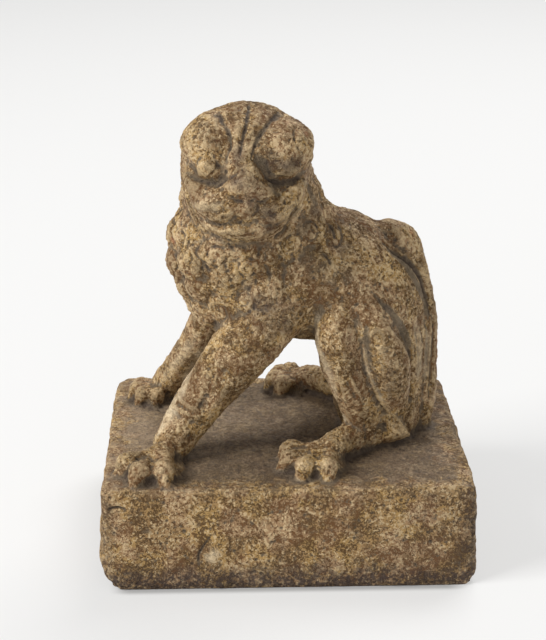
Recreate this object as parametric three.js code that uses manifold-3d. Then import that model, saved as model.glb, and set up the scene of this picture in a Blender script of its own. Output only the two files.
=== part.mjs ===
// A small seated guardian lion of mottled marble, carved with its plinth from one block.
// It sits along the plinth, leans back on straight forelegs and turns its head to the side.
//
// Millimetres. +X runs along the plinth from the forepaws to the rump, the face looks along -Y,
// +Z is up, and the origin is the centre of the plinth's underside.
// The figure is a field of distances that the forms of the body are joined to and cut from.
// Its surface is then meshed, simplified and joined to the plinth as one closed solid.

import * as THREE from "three";
import { mergeVertices } from "three/addons/utils/BufferGeometryUtils.js";
import Module from "manifold-3d";

const wasm = await Module();
wasm.setup();

// Driving dimensions. A limb is given as stations [x, y, z, radius] along its middle line,
// a ball as its centre and its radii along x, y and z, with turns in degrees.
// The figure's heights are measured up from the plinth's top.

// Corner radii are given for the nearer or lower corners and for the farther or upper ones. The
// front's lower left corner is rounder than the rest.
const PLINTH = {
  width: 121,
  depth: 98,
  height: 34.8,
  plan: { drawnIn: 0, lower: 6, upper: 13 },
  front: { drawnIn: 1.2, left: 10.5, lower: 6, upper: 1.6 },
  side: { drawnIn: 0.8, lower: 1.2, upper: 1.6 },
};
const SUNK = 4; // how far the figure reaches down into the plinth

// The rump, tail and hind legs are laid out from a plane at this Y.
const MEDIAN = 2;

const TRUNK = {
  sweep: [
    [-15, -2, 52, 17],
    [-2, 0, 54.5, 21],
    [8, 1, 55, 22],
    [17, MEDIAN, 53.5, 22],
    [25, MEDIAN, 47, 21],
    [30.5, MEDIAN, 30, 16.5],
  ],
  rump: [
    { centre: [31, MEDIAN, 22], radii: [15.5, 19, 26], blend: 5 },
    { centre: [32.6, MEDIAN, 6], radii: [13.4, 17, 20], blend: 5 },
  ],
};

const TAIL = {
  band: [
    [45.5, 1.5, -3, 4.4],
    [47, 1.5, 12, 4.4],
    [47.4, 1.5, 26, 4.2],
    [46.8, 1.5, 38, 4.1],
    [44.6, 1.5, 50, 4.3],
    [41, 1.5, 60, 5],
  ],
  tuft: [
    { centre: [38, 1.5, 66.2], radii: [8.6, 6.6, 4.8], turn: [0, 35, 0], blend: 1 },
    { centre: [32.5, 1.5, 69], radii: [3.2, 4, 2.6], turn: [0, 20, 0], blend: 1 },
  ],
};

const FORELEGS = {
  near: [
    [2, -10, 58, 9],
    [-2.5, -14.5, 48.5, 10],
    [-9, -17.5, 41, 10],
    [-16, -18.5, 33.5, 9.8],
    [-23.4, -18.5, 23.5, 8.6],
    [-31, -19.6, 13.5, 7.2],
    [-36.8, -23, 5, 6.4],
  ],
  far: [
    [-14, 7, 50, 10],
    [-21, 11, 41, 7.8],
    [-27.2, 15, 29, 6.2],
    [-33.2, 20, 18, 5.4],
    [-40, 28, 6, 5.2],
  ],
  hollow: [
    [-18.6, -29, 32.5, 1.6],
    [-22.4, -28.4, 26, 1.8],
    [-26.6, -26.2, 18.5, 1.2],
  ],
  wrist: [
    [-39.4, -20, 17, 0.9],
    [-33.6, -26.6, 15, 1.1],
    [-27.4, -26.2, 12.6, 0.9],
  ],
};

// Both hind legs come from the same stations. Their y is how far out from the median they lie.
const HINDLEG = {
  hip: { centre: [18.6, 12, 47], radii: [8.5, 8, 9], blend: 3 },
  thigh: [
    [23, 16, 50.5, 6.6],
    [29, 19, 41, 8],
    [32.6, 18.6, 27, 8],
    [34, 11.4, 10, 6.4],
  ],
  shank: [
    [17.4, 16.6, 49.5, 7],
    [16.8, 21, 39, 7.3],
    [18, 21.2, 31, 7.2],
    [21.4, 20.4, 22, 6.8],
    [25.6, 17.6, 11, 6.4],
  ],
  heel: [
    [32.4, 17.2, 10.5, 3.2],
    [36.2, 18.2, 6.2, 2.6],
    [40.2, 18.8, 3.6, 1.2],
  ],
  instep: { from: [36, 17.4, 3.8, 3], height: 4.6, radius: 5, middle: 0.42, end: 0.95, bow: 4.4 },
  sole: { from: [27, 19, 2.4, 2.6], height: 2.6, radius: 3.6, end: 1.05 },
  hollow: [
    [20.5, 23.6, 57, 0.9],
    [26, 24, 56.2, 1.1],
    [30.8, 24.4, 51.5, 1.6],
    [35.4, 22.6, 43, 2],
    [39.6, 17.4, 32.5, 2.5],
    [41, 15, 24, 1.6],
    [41, 13, 14, 1],
  ],
  calf: [
    [24.8, 27, 45, 1],
    [27, 27.6, 36, 1.5],
    [28.6, 26, 25, 1.6],
    [32, 23.4, 15.5, 1.2],
  ],
};

// Where each paw is planted, its toes, which way it points and how they spread, in degrees from +X.
const FEET = {
  nearFore: { at: [-39.8, -28.2], toes: 3, heading: -119, spread: 64, length: 17, radius: 3.5 },
  farFore: { at: [-41, 30], toes: 4, heading: -152, spread: 86, length: 11.5, radius: 3 },
  nearHind: { at: [13.4, -26.6], toes: 4, heading: -140, spread: 92, length: 16.4, radius: 3.3 },
  farHind: { at: [9, 35.5], toes: 4, heading: 166, spread: 88, length: 12.4, radius: 3.5 },
};

// The pad under the toes. How far along the paw it lies and reaches are shares of its length.
const PALM = { along: 0.32, reach: 0.6, height: 3.6 };

// A toe and its claw, as [share of the paw's length, height, share of the paw's radius].
const TOE = [
  [0.1, 3.2, 1.1],
  [0.52, 2.4, 0.86],
  [0.86, 2.9, 1.12],
];
const CLAW = [
  [0.95, 1.8, 0.94],
  [1.04, 0, 0.76],
];

const MANE = [
  { centre: [-17, -4.5, 66.5], radii: [20, 17.5, 20], blend: 5 },
  { centre: [-11, -4, 82], radii: [20.6, 17.5, 21], blend: 5 },
  { centre: [1, -4, 75], radii: [14, 14, 11.5], turn: [0, 38, 0], blend: 4 },
];

// Curls stand in rings about the neck, which dip towards the breast. Angles are from +X.
const CURLS = {
  centre: [-4, -3, 58],
  dip: 28,
  thickness: 0.34,
  blend: 1.6,
  rings: [
    { height: 0, from: 112, to: 262, count: 8, radius: 4.8 },
    { height: 9, from: 22, to: 352, count: 15, radius: 5 },
    { height: 18, from: 0, to: 336, count: 15, radius: 5 },
    { height: 27, from: -10, to: 240, count: 10, radius: 4.8 },
    { height: 36, from: 2, to: 186, count: 7, radius: 4.6 },
  ],
};

// Places on the head are [right, forward, up] from its centre. It leans a little to its left.
const HEAD = { centre: [-13.1, -13.5, 93], lean: 5 };

// Forms on the middle of the head, then those on each side, given for the right-hand one.
const SKULL = { at: [0, 0, 0.5], radii: [20, 19.6, 21.8], blend: 4 };
const CROWN = { at: [0.9, 4, 11.6], radii: [18.4, 14, 10.4], blend: 3 };
const MUZZLE = { at: [0, 10.5, -4.6], radii: [16.4, 13, 10.8], blend: 4 };
const JAW = { at: [0.4, 9.5, -12.5], radii: [13.6, 11.5, 6], blend: 2 };
const SOCKET = { at: [10.8, 22.5, 2], radii: [7.4, 4.6, 2.8], blend: 2 };
const BROW = { at: [10.9, 8.2, 10.6], radii: [9.6, 9.8, 9.4], turn: 12, blend: 2.6 };
// The eyes differ, and are given one by one: its right eye first, which is on the left as seen.
const EYES = [
  { at: [-11.4, 16.4, 4.8], radii: [3.4, 3.8, 3.5], blend: 1.2 },
  { at: [11.4, 15.8, 6.6], radii: [4.4, 3.8, 3.4], blend: 1.6 },
];
const EAR = { at: [17.2, 0, 6.5], radii: [2.2, 4.6, 6], blend: 1 };
const CHEEK = {
  stations: [
    [17, 12.5, 1, 2.6],
    [14, 16, -2.6, 3.4],
    [11, 18.4, -6.4, 3],
  ],
  blend: 1.4,
};
const BRIDGE = {
  stations: [
    [-1.6, 12.4, 15, 4.4],
    [-1.6, 15, 9.6, 4.2],
    [-0.8, 18.4, 5.6, 4],
    [0.6, 21.4, 2.6, 4.6],
  ],
  blend: 2,
};
const LIP = { at: [0.8, 19.4, -6.2], radii: [3, 4, 3.6], blend: 1.6 };
const LOWER_LIP = {
  stations: [
    [-9.6, 15.4, -13, 1.8],
    [-4, 18.6, -14, 2.1],
    [4.6, 18.6, -13.6, 2.1],
    [10.4, 15.4, -12, 1.8],
  ],
  blend: 1.2,
};
const NOSTRIL = { at: [4.3, 20.8, 0.6], radii: [3.2, 3.6, 2.6], blend: 1.8 };
const PAD = { at: [8, 15.6, -6.2], radii: [8.4, 7.2, 5], blend: 2.4 };
const NOSE_OFF = 1.1; // how far right of the middle the nose and the lips are set

// Cut lines, laid on the surface from stations [right, forward, up, radius].
const FACE_LINES = {
  hair: {
    blend: 1,
    lines: [
      [[-11, 4, 21.4, 0.9], [-8.2, 14, 18.4, 0.9], [-5.6, 17, 13, 0.9], [-6.2, 19, 8, 0.8]],
      [[9.6, 4, 21.4, 0.9], [5.6, 14, 18.2, 0.9], [2.2, 17, 13.4, 0.9], [2.4, 19, 8.6, 0.8]],
      [[0.6, 4, 22, 0.8], [-1, 14, 18.6, 0.8], [-2, 18, 13.2, 0.7]],
    ],
  },
  underEye: {
    blend: 1,
    lines: [
      [[-18, 13, 1.8, 0.7], [-13.6, 17, 0.6, 0.9], [-9, 19, 0.8, 0.9], [-6.4, 19.6, 3, 0.7]],
      [[17.6, 13, 3, 0.8], [13.6, 17, 1.8, 1.1], [9, 19, 1.8, 1.2], [5.6, 19.6, 4, 0.8]],
    ],
  },
  mouth: {
    blend: 1,
    lines: [
      [[-15.4, 16, -8.6, 0.8], [-10.4, 20, -12.6, 1], [-5.8, 22.6, -13.4, 1], [-2.6, 24, -10.6, 0.8]],
      [[16, 16, -7.2, 0.8], [10.8, 20, -11.8, 1], [7, 22.6, -13, 1], [4.6, 24, -10.4, 0.8]],
      [[-3, 23, -10.4, 0.8], [0.8, 23, -11.6, 0.9], [4.6, 23, -10.2, 0.8]],
    ],
  },
  jaw: {
    blend: 1.4,
    lines: [
      [[17.8, 12, -2.6, 1.2], [16, 11, -9, 1.9], [12.8, 10, -15.4, 1.9], [8, 12, -19.6, 1.3]],
      [[-18.4, 9, -3.6, 1], [-16.8, 9, -9.6, 1.4], [-13.4, 9, -15.8, 1.5], [-8, 11, -19.6, 1.2]],
    ],
  },
};

// The grid that the figure is worked out on, and how finely its surface is kept.
const GRID = { min: [-64, -54, -8], max: [58, 54, 120], cell: 1.1 };
const BAND = 6; // the field holds distances up to this far from the surface
const FIGURE_TRIANGLES = 8600;

const degrees = THREE.MathUtils.degToRad;
const mix = (a, b, t) => a + (b - a) * t;

// Forms. Each has a box that holds it and a distance that is negative inside.

// An ellipsoid with its radii along its own axes, turned by Euler angles in degrees.
function ball(centre, radii, turn = [0, 0, 0]) {
  const [rx, ry, rz] = radii;
  const euler = new THREE.Euler(...turn.map(degrees));
  const inverse = new THREE.Matrix4().makeRotationFromEuler(euler).invert().elements;
  const [cx, cy, cz] = centre;
  const reach = Math.max(rx, ry, rz);
  return {
    box: new THREE.Box3(
      new THREE.Vector3(cx - reach, cy - reach, cz - reach),
      new THREE.Vector3(cx + reach, cy + reach, cz + reach),
    ),
    distance(x, y, z) {
      const dx = x - cx;
      const dy = y - cy;
      const dz = z - cz;
      const u = (inverse[0] * dx + inverse[4] * dy + inverse[8] * dz) / rx;
      const v = (inverse[1] * dx + inverse[5] * dy + inverse[9] * dz) / ry;
      const w = (inverse[2] * dx + inverse[6] * dy + inverse[10] * dz) / rz;
      const k0 = Math.hypot(u, v, w);
      const k1 = Math.hypot(u / rx, v / ry, w / rz);
      return k1 < 1e-9 ? -Math.min(rx, ry, rz) : (k0 * (k0 - 1)) / k1;
    },
  };
}

// A round limb along a smooth curve through stations [x, y, z, radius].
function limb(stations, steps = 4 * (stations.length - 1)) {
  const points = stations.map(([x, y, z]) => new THREE.Vector3(x, y, z));
  const curve = new THREE.CatmullRomCurve3(points, false, "centripetal");
  const line = [];
  const box = new THREE.Box3();
  for (let i = 0; i <= steps; i++) {
    const along = (i / steps) * (stations.length - 1);
    const from = Math.min(Math.floor(along), stations.length - 2);
    const p = curve.getPoint(i / steps);
    const r = mix(stations[from][3], stations[from + 1][3], along - from);
    line.push([p.x, p.y, p.z, r]);
    box.expandByPoint(p.clone().subScalar(r)).expandByPoint(p.clone().addScalar(r));
  }
  const segments = line.slice(1).map((b, i) => {
    const a = line[i];
    const d = [b[0] - a[0], b[1] - a[1], b[2] - a[2]];
    return { a, d, grow: b[3] - a[3], length2: d[0] ** 2 + d[1] ** 2 + d[2] ** 2 };
  });
  return {
    box,
    distance(x, y, z) {
      let nearest = Infinity;
      for (const { a, d, grow, length2 } of segments) {
        const px = x - a[0];
        const py = y - a[1];
        const pz = z - a[2];
        const dot = (px * d[0] + py * d[1] + pz * d[2]) / length2;
        const t = Math.min(1, Math.max(0, dot));
        const gap = Math.hypot(px - d[0] * t, py - d[1] * t, pz - d[2] * t) - a[3] - grow * t;
        if (gap < nearest) nearest = gap;
      }
      return nearest;
    },
  };
}

// The corners of a grid cell, and its edges as pairs of them.
const CORNERS = Array.from({ length: 8 }, (_, n) => [n & 1, (n >> 1) & 1, n >> 2]);
const EDGES = CORNERS.flatMap((_, n) =>
  [1, 2, 4].filter((step) => (n & step) === 0).map((step) => [n, n + step]),
);

// The block being carved: distances on a grid, with forms joined to it or cut from it.
class Stone {
  constructor({ min, max, cell }) {
    this.min = min;
    this.cell = cell;
    this.size = min.map((low, i) => Math.ceil((max[i] - low) / cell) + 1);
    this.field = new Float32Array(this.size[0] * this.size[1] * this.size[2]).fill(BAND);
  }

  index(i, j, k) {
    return i + this.size[0] * (j + this.size[1] * k);
  }

  // Calls change(distance to the form, value now) for each grid point near the form.
  visit(form, margin, change) {
    const low = form.box.min.toArray();
    const high = form.box.max.toArray();
    const from = low.map((v, n) => Math.max(0, Math.floor((v - margin - this.min[n]) / this.cell)));
    const to = high.map((v, n) =>
      Math.min(this.size[n] - 1, Math.ceil((v + margin - this.min[n]) / this.cell)),
    );
    for (let k = from[2]; k <= to[2]; k++)
      for (let j = from[1]; j <= to[1]; j++)
        for (let i = from[0]; i <= to[0]; i++) {
          const at = this.index(i, j, k);
          const d = form.distance(
            this.min[0] + i * this.cell,
            this.min[1] + j * this.cell,
            this.min[2] + k * this.cell,
          );
          this.field[at] = change(d, this.field[at]);
        }
  }

  // Joins a form, with a fillet of about the blend's size where it meets the stone.
  join(form, blend = 3) {
    this.visit(form, BAND + blend, (d, now) => {
      const h = Math.max(blend - Math.abs(d - now), 0) / blend;
      return Math.min(BAND, Math.min(d, now) - (h * h * blend) / 4);
    });
  }

  // Cuts a form out, with its edges rounded by about the blend's size.
  cut(form, blend = 1.5) {
    this.visit(form, BAND + blend, (d, now) => {
      const h = Math.max(blend - Math.abs(d + now), 0) / blend;
      return Math.min(BAND, Math.max(-d, now) + (h * h * blend) / 4);
    });
  }

  // Ends the stone on a level plane, which the plinth then covers.
  stand(level) {
    const [nx, ny, nz] = this.size;
    for (let k = 0; k < nz; k++) {
      const below = level - this.min[2] - k * this.cell;
      const from = this.index(0, 0, k);
      for (let at = from; at < from + nx * ny; at++)
        this.field[at] = Math.min(BAND, Math.max(below, this.field[at]));
    }
  }

  // The distance at a point, between grid points.
  at(p) {
    const g = [p.x, p.y, p.z].map((v, n) =>
      Math.min(this.size[n] - 1.001, Math.max(0, (v - this.min[n]) / this.cell)),
    );
    const [i, j, k] = g.map(Math.floor);
    const [u, v, w] = [g[0] - i, g[1] - j, g[2] - k];
    const f = (a, b, c) => this.field[this.index(i + a, j + b, k + c)];
    const row = (b, c) => mix(f(0, b, c), f(1, b, c), u);
    return mix(mix(row(0, 0), row(1, 0), v), mix(row(0, 1), row(1, 1), v), w);
  }

  // Where a ray from inside the stone comes out of it.
  skin(from, direction) {
    const p = from.clone();
    const step = direction.clone().normalize();
    for (let n = 0; n < 200 && this.at(p) < 0; n++) p.addScaledVector(step, this.cell / 2);
    return p;
  }

  // The way that the surface faces near a point.
  facing(p) {
    const slope = [0, 1, 2].map((n) => {
      const step = new THREE.Vector3().setComponent(n, this.cell);
      return this.at(p.clone().add(step)) - this.at(p.clone().sub(step));
    });
    return new THREE.Vector3(...slope).normalize();
  }

  // Fills the few cells where the surface would touch itself along an edge or at a point.
  settle() {
    const [nx, ny, nz] = this.size;
    const at = CORNERS.map(([a, b, c]) => this.index(a, b, c));
    const sides = [1, 2, 4].flatMap((u) =>
      [1, 2, 4].filter((v) => v > u).flatMap((v) => [0, 7 - u - v].map((n) => [n, n + u, n + u + v, n + v])),
    );
    const touches = (inside) => {
      const crossed = sides.some(([a, b, c, d]) =>
        inside[a] === inside[c] && inside[b] === inside[d] && inside[a] !== inside[b]);
      const count = inside.filter(Boolean).length;
      return crossed || ((count === 2 || count === 6) && inside.some((v, n) =>
        v === (count === 2) && inside[7 - n] === v));
    };
    for (let filled = 1; filled > 0; ) {
      filled = 0;
      for (let cell = 0; cell < this.index(nx - 2, ny - 2, nz - 2); cell++) {
        const inside = at.map((n) => this.field[cell + n] < 0);
        if (inside.every((v) => v === inside[0]) || !touches(inside)) continue;
        const outer = at.filter((_, n) => !inside[n]).map((n) => cell + n);
        const nearest = outer.reduce((a, b) => (this.field[a] < this.field[b] ? a : b));
        this.field[nearest] = -0.05;
        filled++;
      }
    }
  }

  // The surface as shared vertices and triangles, one vertex for each cell that it crosses.
  surface() {
    this.settle();
    const [nx, ny, nz] = this.size;
    const cellVertex = new Map();
    const positions = [];
    for (let k = 0; k < nz - 1; k++)
      for (let j = 0; j < ny - 1; j++)
        for (let i = 0; i < nx - 1; i++) {
          const values = CORNERS.map(([a, b, c]) => this.field[this.index(i + a, j + b, k + c)]);
          const inside = values.filter((v) => v < 0).length;
          if (inside === 0 || inside === 8) continue;
          const sum = [0, 0, 0];
          let crossings = 0;
          for (const [n, m] of EDGES) {
            if (values[n] < 0 === values[m] < 0) continue;
            const t = values[n] / (values[n] - values[m]);
            for (let q = 0; q < 3; q++) sum[q] += mix(CORNERS[n][q], CORNERS[m][q], t);
            crossings++;
          }
          cellVertex.set(this.index(i, j, k), positions.length / 3);
          [i, j, k].forEach((g, q) =>
            positions.push(this.min[q] + (g + sum[q] / crossings) * this.cell),
          );
        }
    const triangles = [];
    const step = [1, nx, nx * ny];
    for (const at of cellVertex.keys())
      for (let axis = 0; axis < 3; axis++) {
        const here = this.field[at] < 0;
        if (here === this.field[at + step[axis]] < 0) continue;
        const [s, t] = [step[(axis + 1) % 3], step[(axis + 2) % 3]];
        const ring = [at, at - s, at - s - t, at - t].map((c) => cellVertex.get(c));
        const [a, b, c, d] = here ? ring : ring.reverse();
        triangles.push(a, b, c, a, c, d);
      }
    return { positions, triangles };
  }
}

// Takes a closed mesh down to a number of triangles by joining the ends of the edges
// that move its surface least.
function simplify({ positions, triangles }, target) {
  const point = (v) => new THREE.Vector3().fromArray(positions, v * 3);
  const faces = [];
  const facesOf = Array.from({ length: positions.length / 3 }, () => new Set());
  for (let i = 0; i < triangles.length; i += 3) {
    const face = triangles.slice(i, i + 3);
    face.forEach((v) => facesOf[v].add(faces.length));
    faces.push(face);
  }
  const places = facesOf.map((_, v) => point(v));

  // A plane's squared distance is a quadric of ten sums. A weak pull to the vertex itself
  // keeps flat areas even.
  const PULL = 2e-3;
  const quadrics = places.map((p) => [
    PULL, 0, 0, -PULL * p.x, PULL, 0, -PULL * p.y, PULL, -PULL * p.z, PULL * p.lengthSq(),
  ]);
  const normalOf = ([a, b, c], moved = null, to = null) => {
    const [p, q, r] = [a, b, c].map((v) => (moved?.includes(v) ? to : places[v]));
    return q.clone().sub(p).cross(r.clone().sub(p));
  };
  for (const face of faces) {
    const normal = normalOf(face);
    const area = normal.length() / 2;
    normal.normalize();
    const d = -normal.dot(places[face[0]]);
    const plane = [normal.x, normal.y, normal.z, d];
    let n = 0;
    for (let i = 0; i < 4; i++)
      for (let j = i; j < 4; j++, n++)
        for (const v of face) quadrics[v][n] += plane[i] * plane[j] * area;
  }

  const cost = (q, { x, y, z }) =>
    q[0] * x * x + 2 * q[1] * x * y + 2 * q[2] * x * z + 2 * q[3] * x + q[4] * y * y +
    2 * q[5] * y * z + 2 * q[6] * y + q[7] * z * z + 2 * q[8] * z + q[9];
  const matrix = new THREE.Matrix3();
  const best = (a, b) => {
    const q = quadrics[a].map((v, n) => v + quadrics[b][n]);
    matrix.set(q[0], q[1], q[2], q[1], q[4], q[5], q[2], q[5], q[7]).invert();
    const to = new THREE.Vector3(-q[3], -q[6], -q[8]).applyMatrix3(matrix);
    const middle = places[a].clone().add(places[b]).multiplyScalar(0.5);
    if (!(to.distanceTo(middle) < 2 * places[a].distanceTo(places[b]))) to.copy(middle);
    return { to, cost: cost(q, to), q };
  };

  // A heap of edges, cheapest first. An edge whose ends have changed since is skipped.
  const heap = [];
  const age = new Int32Array(places.length);
  const push = (a, b) => {
    const item = { a, b, ageA: age[a], ageB: age[b], ...best(a, b) };
    let i = heap.push(item) - 1;
    for (let up; i > 0 && heap[(up = (i - 1) >> 1)].cost > item.cost; i = up) heap[i] = heap[up];
    heap[i] = item;
  };
  const pop = () => {
    const top = heap[0];
    const last = heap.pop();
    if (!heap.length) return top;
    let i = 0;
    for (;;) {
      let down = 2 * i + 1;
      if (down + 1 < heap.length && heap[down + 1].cost < heap[down].cost) down++;
      if (down >= heap.length || heap[down].cost >= last.cost) break;
      heap[i] = heap[down];
      i = down;
    }
    heap[i] = last;
    return top;
  };
  const neighbours = (v) => {
    const found = new Set([...facesOf[v]].flatMap((f) => faces[f]));
    found.delete(v);
    return found;
  };
  places.forEach((_, v) => {
    for (const w of neighbours(v)) if (w > v) push(v, w);
  });

  const LEAST_TURN = 0.3; // the cosine that a triangle's normal may turn by
  let left = faces.length;
  while (left > target && heap.length) {
    const { a, b, ageA, ageB, to, q } = pop();
    if (age[a] !== ageA || age[b] !== ageB) continue;
    const aroundB = neighbours(b);
    if ([...neighbours(a)].filter((v) => aroundB.has(v)).length !== 2) continue;
    const shared = [...facesOf[a]].filter((f) => facesOf[b].has(f));
    const kept = [...facesOf[a], ...facesOf[b]].filter((f) => !shared.includes(f));
    const turned = kept.some((f) => {
      const before = normalOf(faces[f]);
      const after = normalOf(faces[f], [a, b], to);
      return after.dot(before) < LEAST_TURN * after.length() * before.length();
    });
    if (turned) continue;
    for (const f of shared) {
      faces[f].forEach((v) => facesOf[v].delete(f));
      faces[f] = null;
      left--;
    }
    for (const f of facesOf[b]) {
      faces[f] = faces[f].map((v) => (v === b ? a : v));
      facesOf[a].add(f);
    }
    facesOf[b].clear();
    places[a] = to;
    quadrics[a] = q;
    age[a]++;
    age[b] = -1;
    for (const v of neighbours(a)) push(a, v);
  }

  const used = new Map();
  const out = { positions: [], triangles: [] };
  for (const face of faces.filter(Boolean))
    for (const v of face) {
      if (!used.has(v)) {
        used.set(v, used.size);
        out.positions.push(...places[v].toArray());
      }
      out.triangles.push(used.get(v));
    }
  return out;
}

// Joins a ball given by its sizes.
function mass(stone, { centre, radii, turn, blend }) {
  stone.join(ball(centre, radii, turn), blend);
}

// The trunk: chest, barrel and loins in one sweep that drops to the rump.
function trunk(stone) {
  stone.join(limb(TRUNK.sweep));
  for (const form of TRUNK.rump) mass(stone, form);
}

// The tail is carved in relief up the rump and ends in a curled tuft on the loins.
function tail(stone) {
  stone.join(limb(TAIL.band), 1);
  for (const form of TAIL.tuft) mass(stone, form);
}

// A paw: a low pad and toes fanned about the way it points, each with a knuckle and a blunt claw.
function paw(stone, { at, toes, heading, spread, length, radius }) {
  const ahead = length * PALM.along;
  const [dx, dy] = [Math.cos(degrees(heading)), Math.sin(degrees(heading))];
  const pad = length * PALM.reach;
  stone.join(ball([at[0] + dx * ahead, at[1] + dy * ahead, 0], [pad, pad, PALM.height]), 1);
  for (let n = 0; n < toes; n++) {
    const off = n / (toes - 1) - 0.5;
    const angle = degrees(heading + spread * off);
    const reach = length * (1 - 0.5 * off * off);
    const on = ([share, height, thickness]) => [
      at[0] + Math.cos(angle) * reach * share,
      at[1] + Math.sin(angle) * reach * share,
      height,
      radius * thickness,
    ];
    stone.join(limb(TOE.map(on)), 0.5);
    stone.join(limb(CLAW.map(on), 2), 0.5);
  }
}

// The forelegs: straight and slanting, from the shoulder to a broad paw, set well apart.
function forelegs(stone) {
  stone.join(limb(FORELEGS.near), 3.5);
  stone.join(limb(FORELEGS.far), 4);
  paw(stone, FEET.nearFore);
  paw(stone, FEET.farFore);
  stone.cut(limb(FORELEGS.hollow), 2);
  stone.cut(limb(FORELEGS.wrist), 1.4);
}

// A hind leg folded beside the body, over a long foot that is turned out.
// side is -1 for the near leg, under the face, and 1 for the far one.
function hindleg(stone, side) {
  const { hip, thigh, shank, heel, instep, sole, hollow, calf } = HINDLEG;
  const placed = ([x, out, z, ...radius]) => [x, MEDIAN + side * out, z, ...radius];
  const foot = side < 0 ? FEET.nearHind : FEET.farHind;
  const [toeX, toeY] = foot.at;
  const ankle = placed(instep.from);
  const edge = placed(sole.from);
  const arch = [
    ankle,
    [
      mix(ankle[0], toeX, instep.middle),
      mix(ankle[1], toeY, instep.middle) - side * instep.bow,
      instep.height,
      instep.radius,
    ],
    [mix(ankle[0], toeX, instep.end), mix(ankle[1], toeY, instep.end), instep.height, foot.radius + 1],
  ];
  mass(stone, { ...hip, centre: placed(hip.centre) });
  stone.join(limb(thigh.map(placed)), 1.6);
  stone.join(limb(shank.map(placed)), 1.2);
  stone.join(limb(arch), 2);
  stone.join(limb(heel.map(placed), 4), 1.2);
  stone.join(limb([edge, [toeX, mix(edge[1], toeY, sole.end), sole.height, sole.radius]]), 2);
  paw(stone, foot);
  stone.cut(limb(hollow.map(placed)), 1.4);
  stone.cut(limb(calf.map(placed)), 1.2);
}

// The mane: a thick collar from the cheeks down over the breast and shoulders.
function mane(stone) {
  for (const form of MANE) mass(stone, form);
}

// A round curl that stands on the surface at a seat and faces along a direction.
function curl(stone, seat, facing, radius) {
  const tilt = new THREE.Quaternion().setFromUnitVectors(new THREE.Vector3(0, 0, 1), facing);
  const { x, y, z } = new THREE.Euler().setFromQuaternion(tilt);
  const turn = [x, y, z].map(THREE.MathUtils.radToDeg);
  stone.join(ball(seat.toArray(), [radius, radius, CURLS.thickness * radius], turn), CURLS.blend);
}

// Curls in staggered rings, each seated where a ray from inside the neck comes out.
function curls(stone) {
  const dip = degrees(CURLS.dip);
  const up = new THREE.Vector3(-Math.sin(dip), 0, Math.cos(dip));
  const seats = CURLS.rings.flatMap(({ height, from, to, count, radius }) =>
    Array.from({ length: count }, (_, n) => {
      const angle = degrees(mix(from, to, n / (count - 1)));
      const ray = new THREE.Vector3(Math.cos(dip), 0, Math.sin(dip)).multiplyScalar(Math.cos(angle));
      ray.y = Math.sin(angle);
      const centre = new THREE.Vector3(...CURLS.centre).addScaledVector(up, height);
      const seat = stone.skin(centre, ray);
      return { seat, facing: stone.facing(seat), radius };
    }),
  );
  for (const { seat, facing, radius } of seats) curl(stone, seat, facing, radius);
}

const HEAD_PLACE = new THREE.Matrix4()
  .makeTranslation(...HEAD.centre)
  .multiply(new THREE.Matrix4().makeRotationY(degrees(HEAD.lean)));

// A place on the head, given as right, forward and up.
function onHead(right, forward, up) {
  return new THREE.Vector3(right, -forward, up).applyMatrix4(HEAD_PLACE);
}

// A ball on the head: its middle one, or the one on a side, moved right by some millimetres.
function lump({ at, radii, turn = 0 }, side = 1, moved = 0) {
  const [right, forward, up] = at;
  const centre = onHead(side * right + moved, forward, up).toArray();
  return ball(centre, radii, [0, side * turn + HEAD.lean, 0]);
}

// A limb along stations on the head.
function ridge(stations, side = 1) {
  return limb(stations.map(([x, f, u, r]) => [...onHead(side * x, f, u).toArray(), r]));
}

// The head: heavy brows over round eyes, a broad nose, full lips and a wide jaw.
function head(stone) {
  const sides = [-1, 1];
  for (const form of [SKULL, CROWN, MUZZLE, JAW]) stone.join(lump(form), form.blend);
  for (const side of sides) {
    stone.cut(lump(SOCKET, side), SOCKET.blend);
    for (const form of [BROW, EAR]) stone.join(lump(form, side), form.blend);
    stone.join(ridge(CHEEK.stations, side), CHEEK.blend);
  }
  for (const form of EYES) stone.join(lump(form), form.blend);
  stone.join(ridge(BRIDGE.stations), BRIDGE.blend);
  stone.join(ridge(LOWER_LIP.stations), LOWER_LIP.blend);
  for (const side of sides)
    for (const form of [NOSTRIL, PAD]) stone.join(lump(form, side, NOSE_OFF), form.blend);
  stone.join(lump(LIP), LIP.blend);
  for (const { blend, lines } of Object.values(FACE_LINES))
    for (const line of lines) stone.cut(limb(line.map((station) => onFace(stone, station))), blend);
}

// A station of a cut line, moved along its ray from the head's centre to the surface.
function onFace(stone, [right, forward, up, radius]) {
  const centre = onHead(0, 0, 0);
  const seat = stone.skin(centre, onHead(right, forward, up).sub(centre));
  return [...seat.toArray(), radius];
}

// The plinth: one block, worked square from above, from the front and from the side.
function plinth() {
  const { width, depth, height } = PLINTH;
  const through = 2 * width;
  const block = (shape, turn) => {
    const options = { depth: through, bevelEnabled: false, curveSegments: 5 };
    return solid(turn(new THREE.ExtrudeGeometry(shape, options).translate(0, 0, -through / 2)));
  };
  const plan = corners(width, -depth / 2, depth / 2, PLINTH.plan);
  const front = corners(width, 0, height, PLINTH.front);
  const side = corners(depth, 0, height, PLINTH.side);
  return block(plan, (g) => g)
    .intersect(block(front, (g) => g.rotateX(Math.PI / 2)))
    .intersect(block(side, (g) => g.rotateX(Math.PI / 2).rotateZ(Math.PI / 2)));
}

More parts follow.
